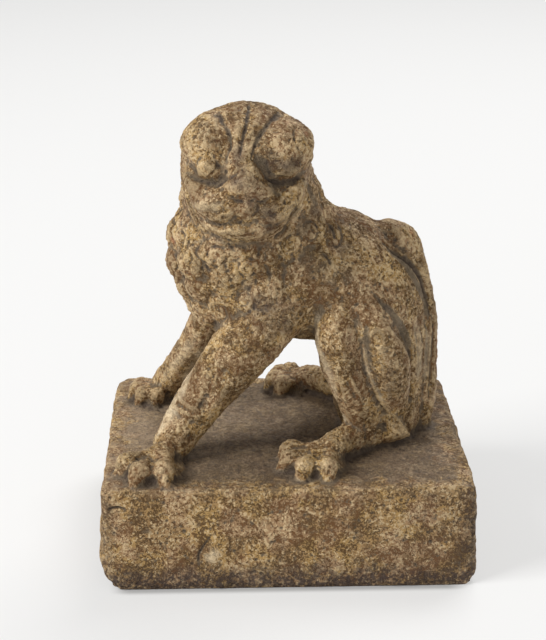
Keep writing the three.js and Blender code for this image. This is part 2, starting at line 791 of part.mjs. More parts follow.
// A rectangle about the axis with round corners, drawn in by some millimetres at its upper edge.
function corners(width, low, high, { drawnIn, lower, upper, left: lowerLeft = lower }) {
  const shape = new THREE.Shape();
  const [left, right] = [-width / 2, width / 2];
  shape.moveTo(left + lowerLeft, low);
  shape.lineTo(right - lower, low);
  shape.quadraticCurveTo(right, low, right, low + lower);
  shape.lineTo(right - drawnIn, high - upper);
  shape.quadraticCurveTo(right - drawnIn, high, right - drawnIn - upper, high);
  shape.lineTo(left + drawnIn + upper, high);
  shape.quadraticCurveTo(left + drawnIn, high, left + drawnIn, high - upper);
  shape.lineTo(left, low + lowerLeft);
  shape.quadraticCurveTo(left, low, left + lowerLeft, low);
  return shape;
}

// A closed geometry as a solid that can be joined and cut.
function solid(geometry) {
  const bare = geometry.clone();
  bare.deleteAttribute("normal");
  bare.deleteAttribute("uv");
  const merged = mergeVertices(bare, 1e-4);
  return new wasm.Manifold(
    new wasm.Mesh({
      numProp: 3,
      vertProperties: new Float32Array(merged.attributes.position.array),
      triVerts: new Uint32Array(merged.index.array),
    }),
  );
}

function geometryOf({ positions, triangles }) {
  return new THREE.BufferGeometry()
    .setAttribute("position", new THREE.Float32BufferAttribute(positions, 3))
    .setIndex(triangles);
}

function figure() {
  const stone = new Stone(GRID);
  trunk(stone);
  mane(stone);
  forelegs(stone);
  for (const side of [-1, 1]) hindleg(stone, side);
  curls(stone);
  tail(stone);
  head(stone);
  stone.stand(-SUNK);
  const skin = geometryOf(simplify(stone.surface(), FIGURE_TRIANGLES));
  return solid(skin.translate(0, 0, PLINTH.height));
}

function carving() {
  const mesh = plinth().add(figure()).getMesh();
  return geometryOf({ positions: mesh.vertProperties, triangles: Array.from(mesh.triVerts) });
}

const marble = new THREE.MeshStandardMaterial({ color: 0x8d7350, roughness: 0.78, metalness: 0 });
const lion = new THREE.Mesh(carving(), marble);
lion.name = "lion_and_plinth";

const part = new THREE.Group();
part.add(lion);

export default part;
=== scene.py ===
"""Dresses a small marble lion and its plinth, and stands it in a plain pale studio."""

import logging
import math
from dataclasses import dataclass, fields
from enum import Enum

import bmesh
import bpy
import numpy as np
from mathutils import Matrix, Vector
from mathutils.bvhtree import BVHTree
from mathutils.geometry import interpolate_bezier


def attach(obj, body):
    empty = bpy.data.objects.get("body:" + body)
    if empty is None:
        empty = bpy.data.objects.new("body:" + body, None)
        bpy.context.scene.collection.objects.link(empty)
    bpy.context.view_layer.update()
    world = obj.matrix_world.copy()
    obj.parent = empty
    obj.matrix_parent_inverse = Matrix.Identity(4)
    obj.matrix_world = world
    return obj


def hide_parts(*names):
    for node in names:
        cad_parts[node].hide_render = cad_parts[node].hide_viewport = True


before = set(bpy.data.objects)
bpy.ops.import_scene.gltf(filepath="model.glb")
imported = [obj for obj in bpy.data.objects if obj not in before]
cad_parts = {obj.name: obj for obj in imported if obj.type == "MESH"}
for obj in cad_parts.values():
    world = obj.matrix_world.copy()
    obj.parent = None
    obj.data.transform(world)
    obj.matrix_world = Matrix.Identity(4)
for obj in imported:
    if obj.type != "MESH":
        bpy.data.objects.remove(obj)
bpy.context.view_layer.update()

Pair = tuple[float, float]
Place = tuple[float, float, float]
Colour = tuple[float, float, float]
Row = dict[str, Place | float]
Object = bpy.types.Object
Socket = bpy.types.NodeSocket
Source = Socket | float | int | bool | tuple | str | None

log = logging.getLogger("lion")

NODE = "lion_and_plinth"
BODY = "root"
SEED = 7
MM = 0.001

# The plinth's height, and half its width and depth, in millimetres.
PLINTH = 34.8
HALF_WIDTH = 60.5
HALF_DEPTH = 49.0


class Relief(Enum):
    """Whether a stroke goes into the stone or stands out of it."""

    CUT = -1.0
    RAISED = 1.0


@dataclass(frozen=True)
class Stroke:
    """A line carved along the surface.

    Attributes:
        points: The photograph's pixels that a smooth line runs through.
        width: Half its width, in millimetres.
        depth: Its depth or height, in millimetres.
        relief: Whether it is cut or raised.
        breadth: How much of the width and depth is left at its two ends.
    """

    points: tuple[Pair, ...]
    width: float
    depth: float
    relief: Relief = Relief.CUT
    breadth: float = 0.5

    def values(self, share: float) -> dict[str, float]:
        """What its points carry where it has a share of its width and depth."""
        depth = self.depth * share * self.relief.value * MM
        return {"width": self.width * share * MM, "depth": depth}


class Cutting:
    """Strokes in groups. Each kind of cutting is a dataclass whose fields are the groups."""

    def strokes(self) -> tuple[Stroke, ...]:
        """All its strokes."""
        return tuple(stroke for group in fields(self) for stroke in getattr(self, group.name))


class Hue(Enum):
    """What a patch of colour is made of; pale patches are partly painted highlights, and dark and
    filmy patches partly painted shade. Each is a value that the surface carries.
    """

    RUST = "rust"
    PALE = "pale"
    DARK = "dark"
    FILM = "film"


@dataclass(frozen=True)
class Patch:
    """A patch of colour along a line on the surface.

    Attributes:
        points: The photograph's pixels that its middle line runs through.
        radius: How far it reaches from that line, in millimetres.
        hue: What it is made of.
        strength: How strong it is, up to 1.
        breadth: How much of the radius is left at the line's two ends.
    """

    points: tuple[Pair, ...]
    radius: float
    hue: Hue
    strength: float
    breadth: float = 0.3

    def values(self, share: float) -> dict[str, float]:
        """What its points carry where it has a share of its radius."""
        strengths = {hue.value: self.strength if hue is self.hue else 0.0 for hue in Hue}
        return {"width": self.radius * share * MM, **strengths}


@dataclass(frozen=True)
class PhotoCamera:
    """The photograph's camera, found from the plinth's edges.

    Attributes:
        place: Where it stands, in millimetres.
        pitch: How far down it looks, in degrees.
        yaw: How far it is turned from +Y towards +X, in degrees.
        focal: Its focal length, in pixels.
        width: The picture's width, in pixels.
        height: Its height, which is the longer side.
        sensor: The size of that side on the sensor, in millimetres.
        clip: The nearest and farthest that it sees, in metres.
    """

    place: Place = (-20.65, -529.0, 264.4)
    pitch: float = 19.84
    yaw: float = 1.84
    focal: float = 1700.0
    width: int = 546
    height: int = 640
    sensor: float = 36.0
    clip: Pair = (0.01, 20.0)

    def forward(self) -> Vector:
        """The way that it looks."""
        pitch, yaw = math.radians(self.pitch), math.radians(self.yaw)
        level = math.cos(pitch)
        return Vector((math.sin(yaw) * level, math.cos(yaw) * level, -math.sin(pitch)))

    def ray(self, pixel: Pair) -> tuple[Vector, Vector]:
        """Gives the ray through a pixel.

        Args:
            pixel: Its column and row, from the upper left.

        Returns:
            The ray's start and direction, in metres.
        """
        forward = self.forward()
        right = forward.cross(Vector((0, 0, 1))).normalized()
        up = right.cross(forward)
        across = (pixel[0] - self.width / 2) / self.focal
        down = (pixel[1] - self.height / 2) / self.focal
        return Vector(self.place) * MM, (forward + right * across - up * down).normalized()

    def build(self) -> None:
        """Adds it to the scene."""
        data = bpy.data.cameras.new("camera")
        data.sensor_width = self.sensor
        data.lens = self.focal / self.height * self.sensor
        data.clip_start, data.clip_end = self.clip
        camera = bpy.data.objects.new("camera", data)
        bpy.context.scene.collection.objects.link(camera)
        camera.location = Vector(self.place) * MM
        camera.rotation_mode = "QUATERNION"
        camera.rotation_quaternion = self.forward().to_track_quat("-Z", "Y")
        bpy.context.scene.camera = camera


@dataclass(frozen=True)
class Band:
    """A range of numbers, and what its two ends become.

    Attributes:
        low: Where the range starts.
        high: Where it ends.
        start: What its start becomes.
        end: What its end becomes.
    """

    low: float
    high: float
    start: float = 0.0
    end: float = 1.0


@dataclass(frozen=True)
class Clouds:
    """A kind of cloudy noise. Lengths are in millimetres.

    Attributes:
        size: How far apart its clouds are.
        detail: How many finer layers it has.
        roughness: How strong they are.
        bend: How much it is warped.
        shift: How far off it is read, so that it differs from the others.
    """

    size: float
    detail: float = 3.0
    roughness: float = 0.55
    bend: float = 0.0
    shift: Place | None = None


class Graph:
    """A node tree that is being built."""

    def __init__(self, tree: bpy.types.NodeTree) -> None:
        """Starts on a tree."""
        self.tree = tree

    def feed(self, socket: Socket, value: Source) -> None:
        """Joins a socket to another, or sets its value.

        Args:
            socket: The socket to feed.
            value: What goes into it.
        """
        if isinstance(value, Socket):
            self.tree.links.new(value, socket)
        elif value is not None:
            socket.default_value = value

    def node(
        self, kind: str, inputs: dict[str | int, Source] | None = None, **settings: Source
    ) -> bpy.types.Node:
        """Adds a node.

        Args:
            kind: Its type.
            inputs: What goes into its sockets, by name or place.
            settings: Its own properties.

        Returns:
            The node.
        """
        made = self.tree.nodes.new(kind)
        for name, value in settings.items():
            setattr(made, name, value)
        for name, value in (inputs or {}).items():
            self.feed(made.inputs[name], value)
        return made

    def math(self, operation: str, *values: Source, **settings: Source) -> Socket:
        """Adds a sum of numbers, worked out from the first one on.

        Args:
            operation: Its name.
            values: What it works on.
            settings: Other properties of its nodes.

        Returns:
            The result.
        """
        inputs, rest = dict(enumerate(values[:2])), values[2:]
        made = self.node("ShaderNodeMath", inputs, operation=operation, **settings).outputs[0]
        return self.math(operation, made, *rest, **settings) if rest else made

    def times(self, *values: Source) -> Socket:
        """Multiplies numbers."""
        return self.math("MULTIPLY", *values)

    def plus(self, *values: Source) -> Socket:
        """Adds numbers."""
        return self.math("ADD", *values)

    def minus(self, *values: Source) -> Socket:
        """Takes numbers from the first."""
        return self.math("SUBTRACT", *values)

    def most(self, *values: Source) -> Socket:
        """Takes the largest of some numbers."""
        return self.math("MAXIMUM", *values)

    def vector(self, operation: str, *values: Source) -> Socket:
        """Adds a sum of vectors.

        Args:
            operation: Its name.
            values: What it works on.

        Returns:
            The result, which is a number for a length or a dot product.
        """
        inputs: dict[str | int, Source] = dict(enumerate(values))
        if operation == "SCALE":
            inputs = {0: values[0], "Scale": values[1]}
        made = self.node("ShaderNodeVectorMath", inputs, operation=operation)
        return made.outputs["Value" if operation in ("LENGTH", "DOT_PRODUCT") else "Vector"]

    def axes(self, vector: Source) -> tuple[Socket, ...]:
        """Splits a vector into its x, y and z."""
        return tuple(self.node("ShaderNodeSeparateXYZ", {0: vector}).outputs)

    def ramp(self, value: Source, band: Band, end: Source = None) -> Socket:
        """Maps a range smoothly to another, and holds what lies beyond it.

        Args:
            value: The number to map.
            band: The range, and what its ends become.
            end: What its end becomes instead, where that isn't the same all over.

        Returns:
            The mapped number.
        """
        last = band.end if end is None else end
        inputs = {0: value, 1: band.low, 2: band.high, 3: band.start, 4: last}
        made = self.node("ShaderNodeMapRange", inputs, interpolation_type="SMOOTHSTEP")
        return made.outputs[0]

    def noise(self, place: Source, clouds: Clouds) -> Socket:
        """Adds cloudy noise.

        Args:
            place: Where it is read, in millimetres.
            clouds: The kind of noise.

        Returns:
            A number from 0 to 1.
        """
        if clouds.shift:
            place = self.vector("ADD", place, clouds.shift)
        inputs = {
            "Vector": place,
            "Scale": 1.0 / clouds.size,
            "Detail": clouds.detail,
            "Roughness": clouds.roughness,
            "Distortion": clouds.bend,
        }
        return self.node("ShaderNodeTexNoise", inputs).outputs[0]

    def mix(self, share: Source, first: Source, second: Source) -> Socket:
        """Mixes two colours.

        Args:
            share: How much of the second there is.
            first: The colour at 0.
            second: The colour at 1.

        Returns:
            The mixed colour.
        """
        made = self.node("ShaderNodeMix", {0: share}, data_type="RGBA")
        for socket, colour in ((made.inputs[6], first), (made.inputs[7], second)):
            self.feed(socket, (*colour, 1.0) if isinstance(colour, tuple) else colour)
        return made.outputs[2]


@dataclass(frozen=True)
class Marble:
    """Old mottled marble, honey brown with pale grains, and dark specks that lie in clusters.

    The clouds and bands say where each of its colours lies. The bands over a height are in
    millimetres, and so is the bump.
    """

    honey: Colour = (0.29, 0.176, 0.074)
    ochre: Colour = (0.405, 0.25, 0.088)
    blush: Colour = (0.35, 0.218, 0.112)
    umber: Colour = (0.074, 0.038, 0.015)
    russet: Colour = (0.13, 0.056, 0.019)
    brown: Colour = (0.155, 0.086, 0.033)
    cream: Colour = (0.61, 0.46, 0.265)

    ground: Clouds = Clouds(9, 3, 0.6)
    warmth: Clouds = Clouds(11, 3, 0.6, shift=(40, 17, 5))
    cluster: Clouds = Clouds(5, 4, 0.7, 1.2, (0, 60, 0))
    broad: Clouds = Clouds(14, 3, 0.6, shift=(9, 9, 70))
    grain: Clouds = Clouds(0.9, 2, 0.55, 0.5)
    grit: Clouds = Clouds(0.5, 2, 0.6, shift=(0, 0, 30))
    flake: Clouds = Clouds(0.95, 2, 0.6, shift=(25, 0, 0))
    tooth: Clouds = Clouds(0.5, 2, 0.6)

    to_ochre: Band = Band(0.4, 0.62)
    to_blush: Band = Band(0.45, 0.6)
    to_brown: Band = Band(0.46, 0.66)
    to_russet: Band = Band(0.42, 0.58)
    mottling: Band = Band(PLINTH - 1, PLINTH + 2, 0.2, 0.5)
    shading: Band = Band(0.43, 0.6)
    shade_least: float = 0.08
    shade_gain: float = 1.15
    gathering: float = 0.55
    drift: Band = Band(0.38, 0.62, -0.03, 0.03)
    pale_grains: Band = Band(0.53, 0.63, 0.0, 0.7)
    dark_grains: Band = Band(0.465, 0.38)
    dark_grit: Band = Band(0.43, 0.36, 0.0, 0.9)
    darkness: float = 0.86

    roughness: Band = Band(0.0, 1.0, 0.58, 0.82)
    specular: float = 0.22
    tooth_height: float = 0.8
    bump: float = 0.26


@dataclass(frozen=True)
class CoverAndPaintedLight:
    """What lies on the marble: dust on the plinth's top, soiling, a thin grey-brown coat, staining
    and patches, with painted highlights and painted shade among them.

    The clouds and bands say where each lies. The bands over a place are in millimetres, and
    those over a hollow too.
    """

    # The dust's colour is also laid as painted shade in broad recesses.
    dust: Colour = (0.15, 0.11, 0.073)
    silt: Colour = (0.35, 0.265, 0.18)
    # A grey-brown coat's colour, also laid as painted shade in grooves and on shaded sides.
    film: Colour = (0.165, 0.125, 0.08)
    # Also laid as painted shade in creases, hollows and on shaded sides, and as painted shadow
    # under the plinth's front rim.
    stain_and_shade: Colour = (0.062, 0.042, 0.033)
    rust: Colour = (0.30, 0.07, 0.025)
    # Mostly painted highlights on lit edges and ridges; a few pale spots are the stone's own.
    bright: Colour = (0.8, 0.65, 0.43)

    patches: Clouds = Clouds(5, 4, 0.65, 0.5)
    flecks: Clouds = Clouds(1.3, 3, 0.65)

    level: Band = Band(0.55, 0.93)
    near_top: Band = Band(PLINTH + 4, PLINTH + 0.5)
    inward: Band = Band(0.98, 0.66, 0.0, 0.34)
    dusty: Band = Band(0.44, 0.72, 0.12, 0.96)
    speckled: Band = Band(0.5, 0.66)
    speckle_spread: float = 0.3
    dust_left: Band = Band(0.0, 1.0, 1.0, 0.78)
    west: Band = Band(4, -40)
    west_wander: float = 30
    dust_dark: Band = Band(0.5, 0.34, 0.0, 0.5)
    dust_pale: Band = Band(0.56, 0.7, 0.0, 0.4)

    # Painted shade in broad and narrow hollows, with soiling in the narrow ones, and painted
    # highlights with rubbed paleness on bulges and ridges.
    recess_shade: Band = Band(0.05, 1.5, 0.0, 0.66)
    rubbed_and_highlit_bulges: Band = Band(-1.0, -4.0, 0.0, 0.14)
    grime_and_shade: Band = Band(0.02, 0.2, 0.0, 0.8)
    pitch: Band = Band(0.14, 0.45, 0.0, 0.7)
    rubbed_and_highlit_ridges: Band = Band(-0.03, -0.22, 0.0, 0.45)
    rubbed_and_highlit_height: Band = Band(PLINTH - 1, PLINTH + 2, 0.4, 1.0)

    # Ragged patches of the grey-brown coat, which are also painted shade:
    film_and_shade_patches: float = 0.7
    film_and_shade_flecks: float = 0.25
    film_and_shade_ragged: Band = Band(0.66, 1.12)
    film_and_shade_edge: Band = Band(0, 0.3)
    film_and_shade_share: float = 0.85

    wander: float = 12
    low: Band = Band(18, 9)
    right: Band = Band(55, 66)
    left: Band = Band(58, 68, 0.0, 0.8)
    upright: Band = Band(HALF_DEPTH - 6, HALF_DEPTH - 1)
    # Staining with painted shade towards the right:
    rightward_stain_and_shade: Band = Band(12, 62, 0.0, 0.3)
    below: Band = Band(PLINTH + 3, PLINTH - 3)
    stain_flecks: Band = Band(0.66, 0.42, 0.3, 0.95)
    ragged: Band = Band(0.3, 0.62, 0.25, 1.0)


class Paint:
    """The stone's material: bare marble, what lies on it, and painted highlights and painted shade.
    """

    def __init__(self, marble: Marble, cover: CoverAndPaintedLight) -> None:
        """Builds the material of a marble and its cover."""
        self.marble = marble
        self.cover = cover
        self.colour: Source = marble.honey
        self.material = bpy.data.materials.new("honey_marble_with_painted_light")
        self.material.use_nodes = True
        self.material.node_tree.nodes.clear()
        self.graph = Graph(self.material.node_tree)
        place = self.graph.node("ShaderNodeTexCoord").outputs["Object"]
        inputs = {"Vector": place, "Scale": (1 / MM,) * 3}
        self.place = self.graph.node("ShaderNodeMapping", inputs).outputs[0]
        self.x, self.y, self.z = self.graph.axes(self.place)
        self.patches = self.noise(cover.patches)
        self.flecks = self.noise(cover.flecks)
        self.carried = {
            name: self.graph.node("ShaderNodeAttribute", attribute_name=name).outputs["Fac"]
            for name in ("hollow", "recess", *(hue.value for hue in Hue))
        }
        self.build()

    def noise(self, clouds: Clouds) -> Socket:
        """Reads a kind of noise over the stone."""
        return self.graph.noise(self.place, clouds)

    def lay(self, share: Source, paint: Source) -> None:
        """Lays a colour over the one that is there."""
        self.colour = self.graph.mix(share, self.colour, paint)

    def build(self) -> None:
        """Builds the shader."""
        graph, marble = self.graph, self.marble
        dark = self.stone()
        self.grime_and_shade()
        self.dust()
        self.stains_and_shade()
        self.spots()
        height = graph.minus(graph.times(self.noise(marble.tooth), marble.tooth_height), dark)
        inputs = {"Height": height, "Distance": marble.bump * MM}
        bump = graph.node("ShaderNodeBump", inputs).outputs[0]
        inputs = {
            "Base Color": self.colour,
            "Roughness": graph.ramp(dark, marble.roughness),
            "Normal": bump,
            "Specular IOR Level": marble.specular,
        }
        shader = graph.node("ShaderNodeBsdfPrincipled", inputs).outputs[0]
        graph.node("ShaderNodeOutputMaterial", {"Surface": shader})

    def stone(self) -> Socket:
        """Builds the bare marble.

        Returns:
            How dark a speck is at each place.
        """
        graph, marble = self.graph, self.marble
        warm, cluster, broad = map(self.noise, (marble.warmth, marble.cluster, marble.broad))
        self.lay(graph.ramp(self.noise(marble.ground), marble.to_ochre), marble.ochre)
        self.lay(graph.ramp(warm, marble.to_blush), marble.blush)
        mottled = graph.ramp(self.z, marble.mottling)
        self.lay(graph.ramp(cluster, marble.to_brown, mottled), marble.brown)
        shade = graph.times(graph.minus(mottled, marble.shade_least), marble.shade_gain)
        self.lay(graph.times(graph.ramp(broad, marble.shading), shade), marble.brown)

        middle = 0.5
        gathered = graph.times(graph.minus(cluster, middle), marble.gathering)
        gathered = graph.plus(gathered, graph.ramp(broad, marble.drift))
        pale, large, small = (
            graph.ramp(graph.minus(self.noise(clouds), gathered), band)
            for clouds, band in (
                (marble.flake, marble.pale_grains),
                (marble.grain, marble.dark_grains),
                (marble.grit, marble.dark_grit),
            )
        )
        self.lay(pale, marble.cream)
        dark = graph.most(large, small)
        speck = graph.mix(graph.ramp(warm, marble.to_russet), marble.umber, marble.russet)
        self.lay(graph.times(dark, marble.darkness), speck)
        return dark

    def grime_and_shade(self) -> None:
        """Pales what is rubbed and paints highlights on ridges and bulges, paints shade in broad
        recesses, and lays soiling with painted shade in narrow hollows and a grey-brown coat with
        painted shade in patches.
        """
        graph, cover = self.graph, self.cover
        hollow, recess, film = (self.carried[name] for name in ("hollow", "recess", "film"))
        # Painted highlights with rubbed paleness: ridges and bulges are laid with cream.
        worn = graph.ramp(hollow, cover.rubbed_and_highlit_ridges), graph.ramp(self.z, cover.rubbed_and_highlit_height)
        self.lay(graph.most(graph.times(*worn), graph.ramp(recess, cover.rubbed_and_highlit_bulges)), self.marble.cream)
        # Painted shade: broad recesses are darkened in the colour of dust.
        self.lay(graph.ramp(recess, cover.recess_shade), cover.dust)
        # Soiling and painted shade: narrow hollows are darkened.
        self.lay(graph.ramp(hollow, cover.grime_and_shade), cover.film)
        # Painted shade with a grey-brown coat, in ragged patches along grooves and on shaded sides.
        ragged = graph.plus(
            film,
            graph.times(self.patches, cover.film_and_shade_patches),
            graph.times(self.flecks, cover.film_and_shade_flecks),
        )
        film_and_shade_mask = graph.ramp(ragged, cover.film_and_shade_ragged), graph.ramp(film, cover.film_and_shade_edge)
        self.lay(graph.times(*film_and_shade_mask, cover.film_and_shade_share), cover.film)

    def dust(self) -> None:
        """Lays dust on the plinth's top, paler to the west, where the forepaws are."""
        graph, cover = self.graph, self.cover
        up = graph.axes(graph.node("ShaderNodeNewGeometry").outputs["Normal"])[2]
        across, along = (
            graph.math("DIVIDE", graph.math("ABSOLUTE", axis), half)
            for axis, half in ((self.x, HALF_WIDTH), (self.y, HALF_DEPTH))
        )
        inner = graph.plus(graph.ramp(graph.most(across, along), cover.inward), self.patches)
        level = graph.times(graph.ramp(up, cover.level), graph.ramp(self.z, cover.near_top))
        speckled = graph.plus(self.flecks, graph.times(self.patches, cover.speckle_spread))
        left = graph.ramp(graph.ramp(speckled, cover.speckled), cover.dust_left)

        west = graph.plus(self.x, graph.times(self.patches, cover.west_wander))
        dust = graph.mix(graph.ramp(west, cover.west), cover.dust, cover.silt)
        dust = graph.mix(graph.ramp(self.flecks, cover.dust_dark), dust, cover.stain_and_shade)
        dust = graph.mix(graph.ramp(self.flecks, cover.dust_pale), dust, cover.silt)
        self.lay(graph.times(level, graph.ramp(inner, cover.dusty), left), dust)

    def stains_and_shade(self) -> None:
        """Darkens the plinth towards its foot, marks its ends with staining and darkens it towards
        the right with staining and painted shade, and darkens the deepest hollows with soiling and
        painted shade.
        """
        graph, cover = self.graph, self.cover
        wander = graph.times(self.patches, cover.wander)
        across = graph.plus(self.x, wander)
        left = graph.ramp(graph.minus(wander, self.x), cover.left)
        upright = graph.ramp(graph.math("ABSOLUTE", self.y), cover.upright)
        ends = graph.times(graph.most(left, graph.ramp(across, cover.right)), upright)
        low = graph.ramp(graph.plus(self.z, wander), cover.low)
        # Darker towards the foot, staining at the ends, and staining with painted shade towards the
        # right.
        stained_and_shaded = graph.times(
            graph.most(low, ends, graph.ramp(across, cover.rightward_stain_and_shade)),
            graph.ramp(self.z, cover.below),
            graph.ramp(self.flecks, cover.stain_flecks),
        )
        self.lay(stained_and_shaded, cover.stain_and_shade)
        # Soiling and painted shade: the deepest narrow hollows are darkened.
        self.lay(graph.ramp(self.carried["hollow"], cover.pitch), cover.stain_and_shade)

    def spots(self) -> None:
        """Lays the patches of other colours: rust and pale spots of the stone's own, painted
        highlights and painted shade.
        """
        cover = self.cover
        ragged = self.graph.ramp(self.patches, cover.ragged)
        # Pale patches are mostly painted highlights and dark patches mostly painted shade; rust and
        # a few pale spots are the stone's own colour.
        paints = {Hue.PALE: cover.bright, Hue.DARK: cover.stain_and_shade, Hue.RUST: cover.rust}
        for hue, paint in paints.items():
            self.lay(self.graph.times(self.carried[hue.value], ragged), paint)


@dataclass(frozen=True)
class Face(Cutting):
    """The finer cutting of the head: hair, eyes, nose, lips and the edge of the jaw."""

    hair: tuple[Stroke, ...] = (
        Stroke(
            ((217.7, 109), (222.8, 122.1), (228.7, 132.3), (231.2, 145.8), (226, 160)), 0.75, 0.55
        ),
        Stroke(((250.3, 99), (247.3, 118.8), (243.1, 137.4), (239.7, 157.7)), 0.75, 0.85),
        Stroke(((282, 107), (268.4, 123.8), (258.3, 139), (253.2, 149.2), (251.5, 161)), 0.75, 0.6),
        Stroke(((234, 104), (235.5, 118), (237, 130), (236, 139)), 1.5, 0.25, Relief.RAISED),
        Stroke(((264, 104), (256, 120), (251, 132), (248, 141)), 1.5, 0.25, Relief.RAISED),
    )
    eyes: tuple[Stroke, ...] = (
        Stroke(((197, 168), (198.5, 160), (203.5, 155)), 0.7, 0.4),
        Stroke(((214, 157), (217.5, 164), (216, 170.5), (210, 175)), 0.8, 0.6),
        Stroke(((266, 160), (268, 169), (275, 175.5), (285, 177)), 1.0, 0.4),
        Stroke(((291, 157), (295.5, 163), (294, 170)), 0.7, 0.4),
    )
    under_eyes: tuple[Stroke, ...] = (
        Stroke(((187, 174), (196, 179), (207, 182), (217, 183), (222, 176)), 1.0, 0.35),
        Stroke(((262, 171), (268, 179.5), (280, 183), (294, 180), (303, 172)), 1.0, 0.4),
    )
    nose: tuple[Stroke, ...] = (
        Stroke(((240, 171), (232, 177), (222, 183), (214, 188)), 0.9, 0.5),
        Stroke(((248, 171), (257, 177), (266, 184), (275, 188)), 0.9, 0.5),
        Stroke(((231, 195), (236, 201), (243, 202)), 0.8, 0.5),
        Stroke(((256, 202), (264, 201), (271, 196)), 0.8, 0.5),
    )
    mouth: tuple[Stroke, ...] = (
        Stroke(((190, 207), (203, 212.5), (216, 213), (226, 210.5)), 0.9, 0.45),
        Stroke(
            ((188, 211), (200, 219), (213, 224.5), (224, 224), (233, 219), (235, 211)), 0.9, 0.5
        ),
        Stroke(((194, 203), (206, 206), (220, 205)), 1.2, 0.35, Relief.RAISED),
        Stroke(((197, 214), (208, 218.5), (221, 218)), 0.9, 0.3, Relief.RAISED),
        Stroke(((241, 204), (241.5, 211), (249, 215.5), (257, 211), (258, 204)), 0.8, 0.35),
        Stroke(((258, 213), (266, 218), (277, 213), (286, 204)), 0.9, 0.45),
        Stroke(((262, 206), (270, 210), (279, 206)), 1.1, 0.3, Relief.RAISED),
        Stroke(((205, 234), (220, 236.5), (245, 235.5), (266, 231)), 0.9, 0.4),
        Stroke(((206, 229), (225, 231), (250, 229.5), (266, 226)), 1.0, 0.3, Relief.RAISED),
    )
    jaw: tuple[Stroke, ...] = (
        Stroke(((301, 202), (292, 217), (282, 231), (276, 238)), 1.8, 1.4),
        Stroke(((186, 207), (192, 221), (200, 236)), 0.9, 0.4),
        Stroke(((206, 241), (225, 242.5), (250, 242.5), (272, 239)), 0.8, 0.4, Relief.RAISED),
        Stroke(((208, 246.5), (226, 248), (252, 248)), 1.1, 0.3),
        Stroke(((302, 180), (292, 190), (284, 198), (277, 204)), 1.6, 0.4, Relief.RAISED),
        Stroke(((297, 124), (294.5, 134), (297, 146), (303, 153)), 0.7, 0.5),
    )


@dataclass(frozen=True)
class Limbs(Cutting):
    """The finer cutting of the legs, paws, flank and tail."""

    flank: tuple[Stroke, ...] = (
        Stroke(((372, 293), (379, 299), (385, 307), (390, 314)), 1.4, 0.6, breadth=0.2),
        Stroke(
            ((390, 314), (398, 325), (405, 338), (409.5, 351), (411, 364)), 1.8, 1.0, breadth=0.2
        ),
        Stroke(
            ((358, 293), (364, 289), (374, 290), (384, 298), (390, 309)), 0.8, 0.4, Relief.RAISED
        ),
        Stroke(((367, 322), (366.5, 338), (368, 354), (372, 372)), 1.3, 0.4, breadth=0.2),
        Stroke(
            ((363, 345), (366, 363), (372, 383), (381, 401), (393, 415), (405, 428)),
            0.8,
            0.7,
            Relief.RAISED,
        ),
        Stroke(((344.6, 378), (351, 390), (357, 401)), 1.0, 0.45, breadth=0.2),
        Stroke(((348, 372), (356, 388), (363, 402)), 0.7, 0.5, Relief.RAISED),
        Stroke(((336, 372), (342, 388), (346, 404)), 0.8, 0.4, Relief.RAISED),
        Stroke(((414, 326), (418, 345), (418, 366), (414, 384)), 0.7, 0.5),
        Stroke(((419, 322), (423, 342), (423, 364), (419, 386)), 0.7, 0.5),
        Stroke(((424, 320), (427, 340), (427.5, 362), (425, 388)), 0.7, 0.5),
    )
    tail: tuple[Stroke, ...] = (
        Stroke(((383, 243), (395, 252), (410, 263), (421, 279), (427, 297), (430, 315)), 1.7, 1.5),
        Stroke(((432, 312), (433.5, 332), (432.5, 352), (430, 376), (428, 400)), 0.9, 0.8),
        Stroke(((387, 231), (394, 236), (396, 243)), 1.0, 0.45, breadth=0.2),
        Stroke(((400, 226), (406, 234), (407, 244), (402, 252)), 1.0, 0.5, breadth=0.2),
        Stroke(((412, 236), (416, 245), (418, 256)), 0.9, 0.4, breadth=0.2),
    )
    foreleg: tuple[Stroke, ...] = (
        Stroke(((214, 372), (209, 385), (204, 398), (199, 408)), 1.4, 0.5),
        Stroke(((173.8, 403), (183, 408), (196, 415.7)), 1.0, 0.5),
        Stroke(((178, 396), (183, 402), (190, 405)), 0.8, 0.35, Relief.RAISED),
    )


@dataclass(frozen=True)
class Locks:
    """Wavy locks of hair between the curls, on the breast and under the ears."""

    left: tuple[tuple[Pair, ...], ...] = (
        ((176, 206), (171, 216), (176, 227), (172, 238)),
        ((184, 214), (179, 226), (184, 238), (180, 250)),
        ((192, 236), (187, 247), (192, 258), (187, 268)),
        ((200, 243), (196, 254), (203, 264), (199, 275)),
        ((173, 252), (178, 263), (174, 274)),
        ((208, 250), (204, 262), (210, 272)),
    )
    breast: tuple[tuple[Pair, ...], ...] = (
        ((217, 252), (214, 264), (220, 276), (216, 288)),
        ((228, 254), (225, 266), (231, 278), (227, 290)),
        ((240, 254), (238, 266), (243, 278), (240, 290)),
        ((252, 253), (251, 265), (256, 277), (254, 289)),
        ((265, 251), (265, 263), (270, 275), (268, 287)),
        ((279, 247), (280, 259), (285, 270), (283, 282)),
    )
    right: tuple[tuple[Pair, ...], ...] = (
        ((303, 228), (306, 222), (314, 222), (319, 229), (317, 238), (309, 241), (305, 235)),
        ((333, 219), (340, 228), (342, 238), (338, 246), (331, 245)),
        ((329, 224), (334, 232), (334, 240)),
        ((320, 252), (328, 258), (331, 267)),
    )

    def strokes(self) -> tuple[Stroke, ...]:
        """All the cuts between the locks, which are broader and shallower on the breast."""
        fine = (Stroke(line, 0.9, 0.65, breadth=0.3) for line in self.left + self.right)
        broad = (Stroke(line, 1.2, 0.4, breadth=0.2) for line in self.breast)
        return (*fine, *broad)


